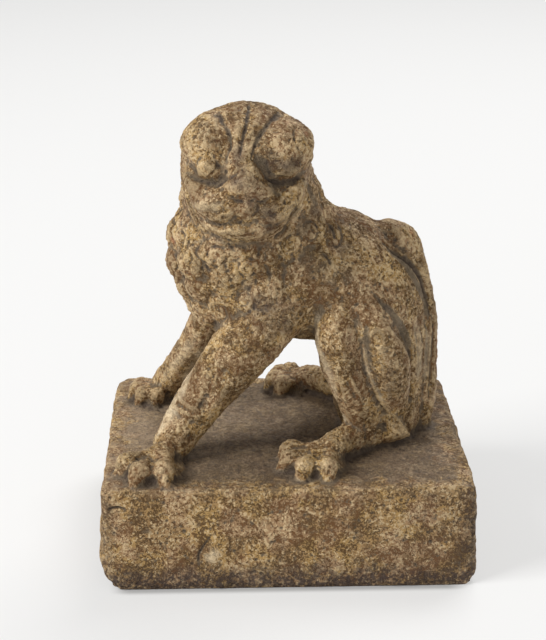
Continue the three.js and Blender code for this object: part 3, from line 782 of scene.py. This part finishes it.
@dataclass(frozen=True)
class Block(Cutting):
    """The finer work and the wear of the plinth."""

    cracks: tuple[Stroke, ...] = (
        Stroke(((107, 513), (112, 509), (120, 508.5), (126, 511)), 0.75, 0.9),
        Stroke(((210, 537), (206, 544), (199.5, 553), (198, 562), (200, 569)), 0.7, 0.7),
        Stroke(((100, 530), (102, 541), (108, 547)), 0.7, 0.5),
    )
    lumps: tuple[Stroke, ...] = (
        Stroke(((205, 556), (211, 557), (213, 563)), 2.6, 0.3, Relief.RAISED, breadth=0.9),
    )


@dataclass(frozen=True)
class PatinaAndPaintedLight:
    """Patches of colour that the years have left, and painted highlights and painted shade."""

    patches: tuple[Patch, ...] = (
        Patch(((307, 131), (308, 137)), 1.6, Hue.RUST, 0.55),
        Patch(((171, 238), (175, 243)), 1.5, Hue.RUST, 0.6),
        Patch(((409, 229), (413, 234)), 1.4, Hue.RUST, 0.6),
        Patch(((437, 330), (437, 350), (436, 372)), 1.2, Hue.RUST, 0.4),
        # A painted highlight on the upper lip's left pad.
        Patch(((190, 206), (200, 208), (212, 208), (222, 205)), 2.4, Hue.PALE, 0.2),
        Patch(((343, 416), (347, 419)), 2.2, Hue.PALE, 0.9),
        Patch(((207, 556), (211, 558), (214, 561)), 4.2, Hue.PALE, 0.5),
        Patch(((202, 549), (200, 559), (203, 568)), 0.9, Hue.DARK, 0.8),
        # Painted shadow under the rim of the plinth's top front edge.
        Patch(((150, 494), (162, 492), (175, 494)), 1.0, Hue.DARK, 0.5),
        Patch(((232, 493), (247, 495), (262, 493)), 1.1, Hue.DARK, 0.5),
        Patch(((298, 494), (308, 498), (318, 496)), 1.2, Hue.DARK, 0.6),
        Patch(((352, 493), (362, 495), (372, 493)), 1.0, Hue.DARK, 0.5),
        Patch(((418, 493), (432, 496), (445, 494)), 1.1, Hue.DARK, 0.6),
        Patch(((415, 322), (420, 350), (418, 380)), 2.6, Hue.PALE, 0.4),
        Patch(((426, 330), (428, 352), (425, 380)), 2.2, Hue.PALE, 0.35),
        # Painted highlights on the lit left edges of the forelegs and along the shank's ridge.
        Patch(((204, 347), (192, 368), (180, 392), (169, 413), (158, 434)), 3.8, Hue.PALE, 0.7),
        Patch(((198, 357), (186, 379), (175, 402)), 2.0, Hue.PALE, 0.8),
        Patch(((318, 316), (317, 335), (319, 352), (330, 376), (338, 404)), 2.2, Hue.PALE, 0.5),
        Patch(((364, 345), (367, 366), (376, 390), (392, 413)), 0.8, Hue.PALE, 0.6),
        Patch(((197, 334), (185, 352), (171, 370), (159, 384)), 2.0, Hue.PALE, 0.35),
        # Painted shade from here on: around and under the eyes, beside the brows, beside and under
        # the nose and muzzle, in the hollows of the neck and jaw, under a lock, on the chest and in
        # the grooves of the flank and tail; the nose is also a darker brown.
        Patch(((266, 178), (274, 180)), 2.2, Hue.DARK, 0.45),
        Patch(((196, 120), (206, 132), (216, 146)), 5.5, Hue.DARK, 0.35),
        Patch(((230, 176), (240, 184), (250, 188), (260, 186)), 4.2, Hue.DARK, 0.8),
        Patch(((238, 166), (245, 178), (251, 193), (262, 198)), 6.0, Hue.DARK, 0.6),
        Patch(((244, 200), (256, 206), (268, 214), (276, 222), (266, 234)), 5.0, Hue.DARK, 0.75),
        Patch(((268, 150), (277, 163), (292, 166), (302, 158)), 4.6, Hue.DARK, 0.8),
        Patch(((240, 146), (238, 156), (236, 166)), 3.4, Hue.DARK, 0.7),
        Patch(((384, 350), (388, 375), (390, 400)), 6.0, Hue.DARK, 0.5),
        Patch(((309, 210), (320, 213)), 4.2, Hue.DARK, 0.7),
        Patch(((330, 246), (336, 247)), 2.0, Hue.DARK, 0.8),
        Patch(((252, 296), (264, 306), (280, 318), (292, 330)), 9.0, Hue.DARK, 0.75),
        Patch(((390, 238), (402, 248), (412, 256)), 2.2, Hue.DARK, 0.5),
        Patch(((385, 304), (391, 314)), 1.8, Hue.DARK, 0.7),
        Patch(((370, 330), (372, 352), (374, 375)), 2.2, Hue.DARK, 0.35),
        Patch(((350, 326), (354, 352), (362, 380)), 3.6, Hue.DARK, 0.45),
        Patch(((300, 206), (290, 222), (281, 236)), 1.8, Hue.DARK, 0.6),
    )
    films_and_shade: tuple[Patch, ...] = (
        # Painted shade with a grey-brown coat: along the brow's grooves, beside the nose and under
        # an eye, on the shaded right of the neck and shoulder, and along the grooves of the flank,
        # tail, thigh and jaw.
        Patch(((220, 114), (228, 131), (231, 146)), 1.0, Hue.FILM, 0.55),
        Patch(((249.5, 102), (246.5, 120), (243, 137), (240, 155)), 0.9, Hue.FILM, 0.9),
        Patch(((280, 109), (268, 124), (258, 139), (252, 152)), 1.2, Hue.FILM, 0.65),
        Patch(((259, 154), (263, 166), (269, 176), (272, 186), (277, 196)), 3.0, Hue.FILM, 0.5),
        Patch(((186, 172), (198, 180), (212, 184), (221, 178)), 2.0, Hue.FILM, 0.5),
        Patch(((300, 218), (304, 226), (298, 236)), 3.6, Hue.FILM, 0.5),
        Patch(((304, 178), (311, 192), (318, 206)), 2.4, Hue.FILM, 0.5),
        Patch(((298, 252), (316, 262), (334, 284)), 7.0, Hue.FILM, 0.36),
        Patch(((343, 240), (350, 262), (346, 284)), 5.0, Hue.FILM, 0.34),
        Patch(((378, 300), (390, 311), (401, 326), (408, 342), (411, 358)), 2.0, Hue.FILM, 0.75),
        Patch(((387, 250), (403, 262), (415, 280), (424, 300), (428, 320)), 2.4, Hue.FILM, 0.7),
        Patch(((366, 325), (367, 345), (371, 365)), 1.8, Hue.FILM, 0.6),
        Patch(((214, 240), (240, 244), (262, 242)), 1.6, Hue.FILM, 0.5),
    )


@dataclass(frozen=True)
class CurlRing:
    """One ring of curls about the neck. Millimetres, and degrees from +X."""

    height: float
    start: float
    end: float
    count: int
    radius: float


@dataclass(frozen=True)
class Mane:
    """Curls in staggered rings, each with a spiral cut in it. The rings dip to the breast."""

    centre: Place = (-4.0, -3.0, 92.8)
    dip: float = 28.0
    rings: tuple[CurlRing, ...] = (
        CurlRing(0, 112, 262, 8, 4.8),
        CurlRing(9, 22, 352, 15, 5.0),
        CurlRing(18, 0, 336, 15, 5.0),
        CurlRing(27, -10, 240, 10, 4.8),
        CurlRing(36, 2, 186, 7, 4.6),
    )

    def seats(self, tree: BVHTree) -> list[Row]:
        """Finds where the curls stand.

        Args:
            tree: The stone's surface.

        Returns:
            The place, the way that it faces and the radius of each, in metres.
        """
        dip = math.radians(self.dip)
        rise = Vector((-math.sin(dip), 0, math.cos(dip)))
        found = []
        for ring in self.rings:
            for n in range(ring.count):
                angle = math.radians(ring.start + (ring.end - ring.start) * n / (ring.count - 1))
                ray = Vector((math.cos(dip), 0, math.sin(dip))) * math.cos(angle)
                ray.y = math.sin(angle)
                middle = (Vector(self.centre) + rise * ring.height) * MM
                place, normal, _, _ = tree.ray_cast(middle, ray)
                if place is None:
                    continue
                facing = ((normal if normal.dot(ray) > 0 else -normal) + ray).normalized()
                row = {"place": tuple(place), "facing": tuple(facing), "radius": ring.radius * MM}
                found.append(row)
        return found


@dataclass(frozen=True)
class Spiral:
    """The spiral that is cut in each curl.

    Attributes:
        turns: How many times it goes round.
        start: Where it starts, as a share of the curl's radius.
        end: Where it ends, likewise.
        steps: How many corners it has in a turn.
        spacing: How far apart its points are, in millimetres.
        reach: How far off the skin the points may lie, in millimetres.
        width: Half its width, in millimetres.
        depth: Its depth, in millimetres.
        kept: How much of it the wear has left, over the clouds of the noise.
        clouds: That noise.
    """

    turns: float = 1.8
    start: float = 0.1
    end: float = 0.84
    steps: int = 28
    spacing: float = 0.3
    reach: float = 3.0
    width: float = 0.8
    depth: float = 0.48
    kept: Band = Band(0.4, 0.6, 0.2, 1.0)
    clouds: Clouds = Clouds(14, 2)


@dataclass(frozen=True)
class Wear:
    """How the years have worn the stone. Millimetres.

    The clouds and bands say where it swells and is pitted, gritty and chipped. Fullness is how
    much the figure stands out all over, to make up for the smoothing and the wear.
    """

    swell: Clouds = Clouds(7.5, 3, 0.5)
    swelling: Band = Band(0.28, 0.72)
    swell_depth: float = 0.65
    pit_spacing: float = 1.9
    pit: Band = Band(0.4, 0.12)
    pitted: Clouds = Clouds(6, 3)
    pitting: Band = Band(0.42, 0.6)
    pit_depth: float = 0.45
    grit: Clouds = Clouds(1.25, 2)
    gritty: Band = Band(0.3, 0.7)
    grit_height: Band = Band(34, 37, 0.45, 1.0)
    grit_depth: float = 0.3
    edge: Band = Band(-0.25, -1.3)
    edge_height: Band = Band(44, 36, 0.25, 1.0)
    chip: Clouds = Clouds(7, 3, 0.55)
    chipped: Band = Band(0.4, 0.66)
    chip_depth: float = 1.5
    figure: Band = Band(36, 40)
    crown: Band = Band(147, 140)
    fullness: float = 0.5
    downward: Band = Band(-0.8, -0.97)
    foot: Band = Band(4, 1)


class Carving:
    """The whole stone: a finely meshed copy of the solid, with the finer cutting and the wear.

    Attributes:
        weld: How close together corners are made one, in millimetres.
        voxel: The fine mesh's spacing, in millimetres.
        smoothing: How strongly it is smoothed.
        rounds: How many times it is smoothed.
        line_steps: How many places a line has from one of its points to the next.
        taper: A line has its full width after one part in this many of its length.
        faces: How many triangles the finished stone has.
    """

    weld: float = 0.001
    voxel: float = 0.46
    smoothing: float = 0.5
    rounds: int = 5
    line_steps: int = 24
    taper: float = 5.0
    faces: int = 190_000

    def __init__(self, solid: Object, camera: PhotoCamera) -> None:
        """Takes the solid that it dresses, and the photo's camera."""
        self.solid = solid
        self.camera = camera

    def build(self) -> Object:
        """Makes the dressed stone.

        Returns:
            The piece.
        """
        base = self.fine_copy()
        tree = BVHTree.FromPolygons(
            [v.co for v in base.data.vertices], [tuple(p.vertices) for p in base.data.polygons]
        )
        cuts = Face().strokes() + Limbs().strokes() + Locks().strokes() + Block().strokes()
        given = {
            "Strokes": self.line_points(tree, cuts),
            "Seats": self.points_object(Mane().seats(tree)),
            "Patches": self.line_points(tree, PatinaAndPaintedLight().patches),
            "Films": self.line_points(tree, PatinaAndPaintedLight().films_and_shade),
        }
        carved = self.carve(base, given)
        for helper in (base, *given.values()):
            bpy.data.objects.remove(helper)
        return self.thin(carved)

    def added(self, name: str, mesh: bpy.types.Mesh) -> Object:
        """Adds an object with a mesh to the scene.

        Args:
            name: Its name.
            mesh: The mesh.

        Returns:
            The object.
        """
        made = bpy.data.objects.new(name, mesh)
        bpy.context.scene.collection.objects.link(made)
        return made

    def baked(self, piece: Object, name: str) -> Object:
        """Turns a piece with its modifiers into a plain mesh, and removes the piece.

        Args:
            piece: The piece.
            name: The new one's name.

        Returns:
            The plain one.
        """
        ready = piece.evaluated_get(bpy.context.evaluated_depsgraph_get())
        plain = self.added(name, bpy.data.meshes.new_from_object(ready))
        bpy.data.objects.remove(piece)
        return plain

    def fine_copy(self) -> Object:
        """Copies the solid as one finely meshed, gently smoothed skin.

        Returns:
            The copy.
        """
        mesh = self.solid.data.copy()
        shape = bmesh.new()
        shape.from_mesh(mesh)
        bmesh.ops.remove_doubles(shape, verts=shape.verts, dist=self.weld * MM)
        shape.to_mesh(mesh)
        shape.free()
        copy = self.added("fine_copy", mesh)
        remesh = copy.modifiers.new("remesh", "REMESH")
        remesh.mode = "VOXEL"
        remesh.voxel_size = self.voxel * MM
        smooth = copy.modifiers.new("smooth", "SMOOTH")
        smooth.factor = self.smoothing
        smooth.iterations = self.rounds
        return self.baked(copy, "base")

    def points_object(self, rows: list[Row]) -> Object:
        """Makes an object of loose points.

        Args:
            rows: Where each point is, as its "place", and what it carries.

        Returns:
            The object.
        """
        mesh = bpy.data.meshes.new("points")
        mesh.from_pydata([row["place"] for row in rows], [], [])
        for key in (key for key in rows[0] if key != "place"):
            data = np.array([row[key] for row in rows])
            kind, slot = ("FLOAT", "value") if data.ndim == 1 else ("FLOAT_VECTOR", "vector")
            mesh.attributes.new(key, kind, "POINT").data.foreach_set(slot, data.ravel())
        return self.added("points", mesh)

    def line_points(self, tree: BVHTree, marks: tuple[Stroke | Patch, ...]) -> Object:
        """Lays strokes or patches on the surface as rows of points.

        Args:
            tree: The stone's surface.
            marks: The strokes or patches.

        Returns:
            An object of points, with what each carries.
        """
        rows = []
        for mark in marks:
            line = self.smooth_line(mark.points)
            for n, pixel in enumerate(line):
                hit, _, _, _ = tree.ray_cast(*self.camera.ray(pixel))
                if hit is None:
                    continue
                along = n / (len(line) - 1)
                full = min(1.0, min(along, 1 - along) * self.taper)
                share = mark.breadth + (1 - mark.breadth) * full
                rows.append({"place": tuple(hit), **mark.values(share)})
        return self.points_object(rows)

    def smooth_line(self, points: tuple[Pair, ...]) -> list[Pair]:
        """Runs a smooth line through points: a Catmull-Rom spline, in Bezier pieces.

        Args:
            points: The points.

        Returns:
            The places along it.
        """
        knots = [Vector((*p, 0)) for p in points]
        first, last = 2 * knots[0] - knots[1], 2 * knots[-1] - knots[-2]
        knots = [first, *knots, last]
        line: list[Pair] = []
        for a, b, c, d in zip(knots, knots[1:], knots[2:], knots[3:]):
            lead, trail = b + (c - a) / 6, c - (d - b) / 6
            places = interpolate_bezier(b, lead, trail, c, self.line_steps)
            line += [(p.x, p.y) for p in places[:-1]]
        return [*line, points[-1]]

    def carve(self, base: Object, helpers: dict[str, Object]) -> Object:
        """Cuts the strokes and the curls' spirals into the skin, and wears it.

        Args:
            base: The skin.
            helpers: The points of the strokes, curls and patches, by the tree's inputs.

        Returns:
            The carved skin.
        """
        carver = CarvingTree(Wear(), Spiral())
        copy = self.added("carved", base.data.copy())
        modifier = copy.modifiers.new("carving", "NODES")
        modifier.node_group = carver.tree
        for name, value in {**helpers, "Marble": Paint(Marble(), CoverAndPaintedLight()).material}.items():
            modifier[carver.sockets[name]] = value
        return self.baked(copy, "worn")

    def thin(self, piece: Object) -> Object:
        """Brings the piece under its number of triangles.

        Args:
            piece: The carved piece.

        Returns:
            The finished piece.
        """
        piece.data.calc_loop_triangles()
        count = len(piece.data.loop_triangles)
        decimate = piece.modifiers.new("thin", "DECIMATE")
        decimate.ratio = min(1.0, self.faces / count)
        decimate.use_collapse_triangulate = True
        done = self.baked(piece, "carved_marble")
        done.data.polygons.foreach_set("use_smooth", [True] * len(done.data.polygons))
        log.info("stone: %d triangles before thinning, %d after", count, len(done.data.polygons))
        return done


class CarvingTree:
    """The node tree that cuts strokes and spirals into a skin, and wears it.

    Attributes:
        edge_rounds: How far around the search for edges looks, in rounds of blurring.
        hollow_rounds: How far the search for narrow hollows looks, likewise.
        recess_rounds: How far the search for broad hollows looks, likewise.
        firmness: How much sooner pale patches and filmy patches, with their painted highlights and
            painted shade, come to their full strength.
    """

    edge_rounds: int = 60
    hollow_rounds: int = 14
    recess_rounds: int = 200
    firmness: float = 2.0

    def __init__(self, wear: Wear, spiral: Spiral) -> None:
        """Builds the tree for a kind of wear and spiral."""
        self.wear = wear
        self.spiral = spiral
        self.tree = bpy.data.node_groups.new("carving", "GeometryNodeTree")
        self.tree.is_modifier = True
        self.graph = Graph(self.tree)
        self.sockets: dict[str, str] = {}
        self.declare()
        self.given = self.graph.node("NodeGroupInput").outputs
        self.build()

    def declare(self) -> None:
        """Names what goes in and out."""
        face = self.tree.interface
        face.new_socket("Geometry", in_out="OUTPUT", socket_type="NodeSocketGeometry")
        face.new_socket("Geometry", in_out="INPUT", socket_type="NodeSocketGeometry")
        lengths = {
            "Spiral width": self.spiral.width,
            "Spiral depth": self.spiral.depth,
            "Swell depth": self.wear.swell_depth,
            "Pit depth": self.wear.pit_depth,
            "Grit depth": self.wear.grit_depth,
            "Chip depth": self.wear.chip_depth,
            "Fullness": self.wear.fullness,
        }
        sockets: dict[str, tuple[str, Source]] = {
            **{name: ("Object", None) for name in ("Strokes", "Seats", "Patches", "Films")},
            "Marble": ("Material", None),
            "Spiral turns": ("Float", self.spiral.turns),
            **{name: ("Float", length * MM) for name, length in lengths.items()},
            "Seed": ("Int", SEED),
        }
        for name, (kind, value) in sockets.items():
            item = face.new_socket(name, in_out="INPUT", socket_type="NodeSocket" + kind)
            self.sockets[name] = item.identifier
            if value is not None:
                item.default_value = value

    def build(self) -> None:
        """Builds the tree's nodes."""
        graph = self.graph
        stone = self.kept_height(self.given["Geometry"], "edge", self.edge_rounds)
        normal = graph.node("GeometryNodeInputNormal").outputs[0]
        offset = graph.vector("SCALE", normal, graph.minus(self.cutting(), self.wearing(normal)))
        inputs = {"Geometry": stone, "Offset": offset}
        carved = graph.node("GeometryNodeSetPosition", inputs).outputs[0]
        carved = self.tinted(carved)
        carved = self.kept_height(carved, "hollow", self.hollow_rounds)
        carved = self.kept_height(carved, "recess", self.recess_rounds)
        carved = graph.node("GeometryNodeRealizeInstances", {0: carved}).outputs[0]
        inputs = {0: carved, "Material": self.given["Marble"]}
        carved = graph.node("GeometryNodeSetMaterial", inputs).outputs[0]
        graph.node("NodeGroupOutput", {0: carved})

    def here(self) -> Socket:
        """Reads where each point is, in metres."""
        return self.graph.node("GeometryNodeInputPosition").outputs[0]

    def named(self, name: str, kind: str = "FLOAT") -> Socket:
        """Reads a value that points carry."""
        inputs = {"Name": name}
        return self.graph.node("GeometryNodeInputNamedAttribute", inputs, data_type=kind).outputs[0]

    def keep(self, stone: Source, name: str, value: Source) -> Socket:
        """Gives a skin a value to carry."""
        inputs = {"Geometry": stone, "Name": name, "Value": value}
        return self.graph.node("GeometryNodeStoreNamedAttribute", inputs).outputs[0]

    def points(self, name: str) -> Socket:
        """The points of one of the tree's input objects."""
        inputs = {"Object": self.given[name]}
        return self.graph.node("GeometryNodeObjectInfo", inputs).outputs["Geometry"]

    def nearest(self, points: Source, names: tuple[str, ...] = ()) -> tuple[Socket, ...]:
        """Looks up the nearest of some points.

        Args:
            points: The points.
            names: The numbers that they carry and that are wanted.

        Returns:
            The distance to it, and its numbers.
        """
        graph = self.graph
        index = graph.node("GeometryNodeSampleNearest", {0: points}, domain="POINT").outputs[0]

        def sample(value: Source, kind: str) -> Socket:
            """Reads a value at the nearest point."""
            inputs = {0: points, 1: value, 2: index}
            return graph.node("GeometryNodeSampleIndex", inputs, data_type=kind).outputs[0]

        place = sample(self.here(), "FLOAT_VECTOR")
        distance = graph.vector("LENGTH", graph.vector("SUBTRACT", self.here(), place))
        return distance, *(sample(self.named(name), "FLOAT") for name in names)

    def profile(self, distance: Source, width: Source) -> Socket:
        """The section of a stroke: 1 on its line, falling straight to 0 at its half width."""
        return self.graph.minus(1.0, self.graph.math("DIVIDE", distance, width, use_clamp=True))

    def spirals(self) -> Socket:
        """Lays a spiral on each curl, turned at random.

        Returns:
            Points along the spirals, on the skin.
        """
        graph, kind = self.graph, self.spiral
        inputs = {
            "Resolution": kind.steps,
            "Rotations": self.given["Spiral turns"],
            "Start Radius": kind.start,
            "End Radius": kind.end,
            "Height": 0.0,
        }
        spiral = graph.node("GeometryNodeCurveSpiral", inputs).outputs[0]
        facing = self.named("facing", "FLOAT_VECTOR")
        inputs = {"Vector": facing}
        turn = graph.node("FunctionNodeAlignRotationToVector", inputs, axis="Z").outputs[0]
        inputs = {2: 0.0, 3: 2 * math.pi, "Seed": self.given["Seed"]}
        spin = graph.node("FunctionNodeRandomValue", inputs, data_type="FLOAT").outputs[1]
        inputs = {"Axis": (0, 0, 1), "Angle": spin}
        about = graph.node("FunctionNodeAxisAngleToRotation", inputs).outputs[0]
        inputs = {"Rotation": turn, "Rotate By": about}
        turn = graph.node("FunctionNodeRotateRotation", inputs, rotation_space="LOCAL").outputs[0]
        inputs = {
            "Points": self.points("Seats"),
            "Instance": spiral,
            "Rotation": turn,
            "Scale": self.named("radius"),
        }
        placed = graph.node("GeometryNodeInstanceOnPoints", inputs).outputs[0]
        lines = graph.node("GeometryNodeRealizeInstances", {0: placed}).outputs[0]
        inputs = {"Curve": lines, "Length": kind.spacing * MM}
        dots = graph.node("GeometryNodeCurveToPoints", inputs, mode="LENGTH").outputs["Points"]
        start = graph.vector("ADD", self.here(), graph.vector("SCALE", facing, kind.reach * MM))
        inputs = {
            "Target Geometry": self.given["Geometry"],
            "Source Position": start,
            "Ray Direction": graph.vector("SCALE", facing, -1.0),
            "Ray Length": 3 * kind.reach * MM,
        }
        hit = graph.node("GeometryNodeRaycast", inputs).outputs
        inputs = {"Geometry": dots, "Selection": hit["Is Hit"], "Position": hit["Hit Position"]}
        return graph.node("GeometryNodeSetPosition", inputs).outputs[0]

    def cutting(self) -> Socket:
        """Works out how far the strokes and spirals move the skin.

        Returns:
            How far out it moves.
        """
        graph, kind = self.graph, self.spiral
        distance, width, depth = self.nearest(self.points("Strokes"), ("width", "depth"))
        line = graph.times(self.profile(distance, width), depth)
        place = graph.vector("SCALE", self.here(), 1 / MM)
        (distance,) = self.nearest(self.spirals())
        kept = graph.ramp(graph.noise(place, kind.clouds), kind.kept)
        groove = self.profile(distance, self.given["Spiral width"])
        return graph.minus(line, graph.times(groove, kept, self.given["Spiral depth"]))

    def wearing(self, normal: Source) -> Socket:
        """Works out how much of the skin has worn away. The flat underside hasn't.

        Args:
            normal: The way that the skin faces.

        Returns:
            How far in the wear goes.
        """
        graph, wear, given = self.graph, self.wear, self.given
        place = graph.vector("SCALE", self.here(), 1 / MM)
        height = graph.axes(place)[2]
        cells = {"Vector": place, "Scale": 1.0 / wear.pit_spacing}
        pit = graph.node("ShaderNodeTexVoronoi", cells).outputs["Distance"]
        swells = graph.times(
            graph.ramp(graph.noise(place, wear.swell), wear.swelling), given["Swell depth"]
        )
        pits = graph.times(
            graph.ramp(pit, wear.pit),
            graph.ramp(graph.noise(place, wear.pitted), wear.pitting),
            given["Pit depth"],
        )
        grit = graph.times(
            graph.ramp(graph.noise(place, wear.grit), wear.gritty),
            given["Grit depth"],
            graph.ramp(height, wear.grit_height),
        )
        chips = graph.times(
            graph.ramp(self.named("edge"), wear.edge),
            graph.ramp(height, wear.edge_height),
            graph.ramp(graph.noise(place, wear.chip), wear.chipped),
            given["Chip depth"],
        )
        worn = graph.plus(graph.plus(swells, pits), graph.plus(grit, chips))
        figure = graph.times(graph.ramp(height, wear.figure), graph.ramp(height, wear.crown))
        worn = graph.minus(worn, graph.times(figure, given["Fullness"]))
        up = graph.axes(normal)[2]
        under = graph.times(graph.ramp(up, wear.downward), graph.ramp(height, wear.foot))
        return graph.times(worn, graph.minus(1.0, under))

    def tinted(self, stone: Source) -> Socket:
        """Keeps how strong each hue is on the skin, painted highlights and painted shade among
        them. Pale and filmy patches have firmer edges.

        Args:
            stone: The skin.

        Returns:
            The skin that carries the hues.
        """
        graph = self.graph
        sets = {"Patches": (Hue.RUST, Hue.PALE, Hue.DARK), "Films": (Hue.FILM,)}
        for name, hues in sets.items():
            wanted = ("width", *(hue.value for hue in hues))
            distance, width, *strengths = self.nearest(self.points(name), wanted)
            share = self.profile(distance, width)
            for hue, strength in zip(hues, strengths):
                value = graph.times(share, strength)
                if hue in (Hue.PALE, Hue.FILM):
                    value = graph.math("MINIMUM", graph.times(value, self.firmness), strength)
                stone = self.keep(stone, hue.value, value)
        return stone

    def kept_height(self, stone: Source, name: str, rounds: int) -> Socket:
        """Keeps how far each point lies below what is around it, in millimetres.

        Args:
            stone: The skin.
            name: The value's name.
            rounds: How far around it looks.

        Returns:
            The skin that carries the value.
        """
        graph, here = self.graph, self.here()
        normal = graph.node("GeometryNodeInputNormal").outputs[0]
        inputs = {"Value": here, "Iterations": rounds}
        blur = graph.node("GeometryNodeBlurAttribute", inputs, data_type="FLOAT_VECTOR")
        away = graph.vector("SUBTRACT", blur.outputs[0], here)
        below = graph.vector("DOT_PRODUCT", away, normal)
        return self.keep(stone, name, graph.math("DIVIDE", below, MM))


@dataclass(frozen=True)
class Lamp:
    """A square soft light that faces the stone. Metres and watts."""

    name: str
    place: Place
    size: float
    power: float

    def build(self) -> None:
        """Adds it to the scene."""
        data = bpy.data.lights.new(self.name, "AREA")
        data.size = self.size
        data.energy = self.power
        light = bpy.data.objects.new(self.name, data)
        bpy.context.scene.collection.objects.link(light)
        light.location = self.place
        light.rotation_mode = "QUATERNION"
        light.rotation_quaternion = (-Vector(self.place)).to_track_quat("-Z", "Y")


@dataclass(frozen=True)
class Studio:
    """A pale floor with a painted shadow at the plinth's foot, soft lamps and a pale sky.

    Attributes:
        floor: The floor's own colour.
        glow: The light that it gives off, so that it is as pale as the photo's.
        roughness: How dull it is.
        corners: Its corners, in metres.
        shadow_footprint: How far from the middle the floor's painted shadow lies, in metres.
        spread: How much a distance beyond that counts, along each axis.
        painted_contact_shadow: The distance over which the painted shadow fades, in metres, and the
            glow at its ends.
        sky: The sky's colour.
        sky_strength: Its strength.
        lamps: The lamps.
    """

    floor: Colour = (0.36, 0.358, 0.352)
    glow: Colour = (0.46, 0.46, 0.458)
    roughness: float = 0.9
    corners: tuple[Pair, ...] = ((-6.0, -3.0), (6.0, -3.0), (6.0, 6.0), (-6.0, 6.0))
    shadow_footprint: Place = (0.05, 0.049, 1.0)
    spread: Place = (0.4, 1.0, 1.0)
    painted_contact_shadow: Band = Band(0.0, 3.2 * MM, 0.25, 1.0)
    sky: Colour = (1.0, 1.0, 1.0)
    sky_strength: float = 0.32
    lamps: tuple[Lamp, ...] = (
        Lamp("key", (-1.45, -0.6, 1.15), 0.9, 35.0),
        Lamp("fill", (0.4, -1.5, 0.5), 1.0, 3.6),
        Lamp("back", (0.45, 0.7, 1.2), 0.8, 12.0),
    )

    def build(self) -> None:
        """Adds the sky, the lamps and the floor."""
        scene = bpy.context.scene
        scene.view_settings.view_transform = "Standard"
        scene.world = bpy.data.worlds.new("sky")
        scene.world.use_nodes = True
        background = scene.world.node_tree.nodes["Background"]
        background.inputs["Color"].default_value = (*self.sky, 1.0)
        background.inputs["Strength"].default_value = self.sky_strength
        for lamp in self.lamps:
            lamp.build()
        self.build_floor()

    def build_floor(self) -> None:
        """Adds the floor, which glows a little, but less close to the plinth's foot: a painted
        shadow.
        """
        mesh = bpy.data.meshes.new("floor")
        mesh.from_pydata([(*corner, 0.0) for corner in self.corners], [], [(0, 1, 2, 3)])
        floor = bpy.data.objects.new("floor", mesh)
        bpy.context.scene.collection.objects.link(floor)
        paint = bpy.data.materials.new("studio_floor")
        paint.use_nodes = True
        shader = paint.node_tree.nodes["Principled BSDF"]
        shader.inputs["Base Color"].default_value = (*self.floor, 1.0)
        shader.inputs["Roughness"].default_value = self.roughness
        shader.inputs["Emission Color"].default_value = (*self.glow, 1.0)
        graph = Graph(paint.node_tree)
        place = graph.node("ShaderNodeTexCoord").outputs["Object"]
        beyond = graph.vector("SUBTRACT", graph.vector("ABSOLUTE", place), self.shadow_footprint)
        beyond = graph.vector("MAXIMUM", beyond, (0.0, 0.0, 0.0))
        distance = graph.vector("LENGTH", graph.vector("MULTIPLY", beyond, self.spread))
        # Painted shadow: the glow is dimmed close to the plinth's foot.
        graph.feed(shader.inputs["Emission Strength"], graph.ramp(distance, self.painted_contact_shadow))
        mesh.materials.append(paint)


def main() -> None:
    """Builds the camera, the studio and the stone."""
    logging.basicConfig(level=logging.INFO, format="%(name)s: %(message)s")
    camera = PhotoCamera()
    camera.build()
    Studio().build()
    stone = Carving(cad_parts[NODE], camera).build()
    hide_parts(NODE)
    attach(stone, BODY)
    log.info("stone: dressed as %s", stone.name)


if __name__ == "__main__":
    main()
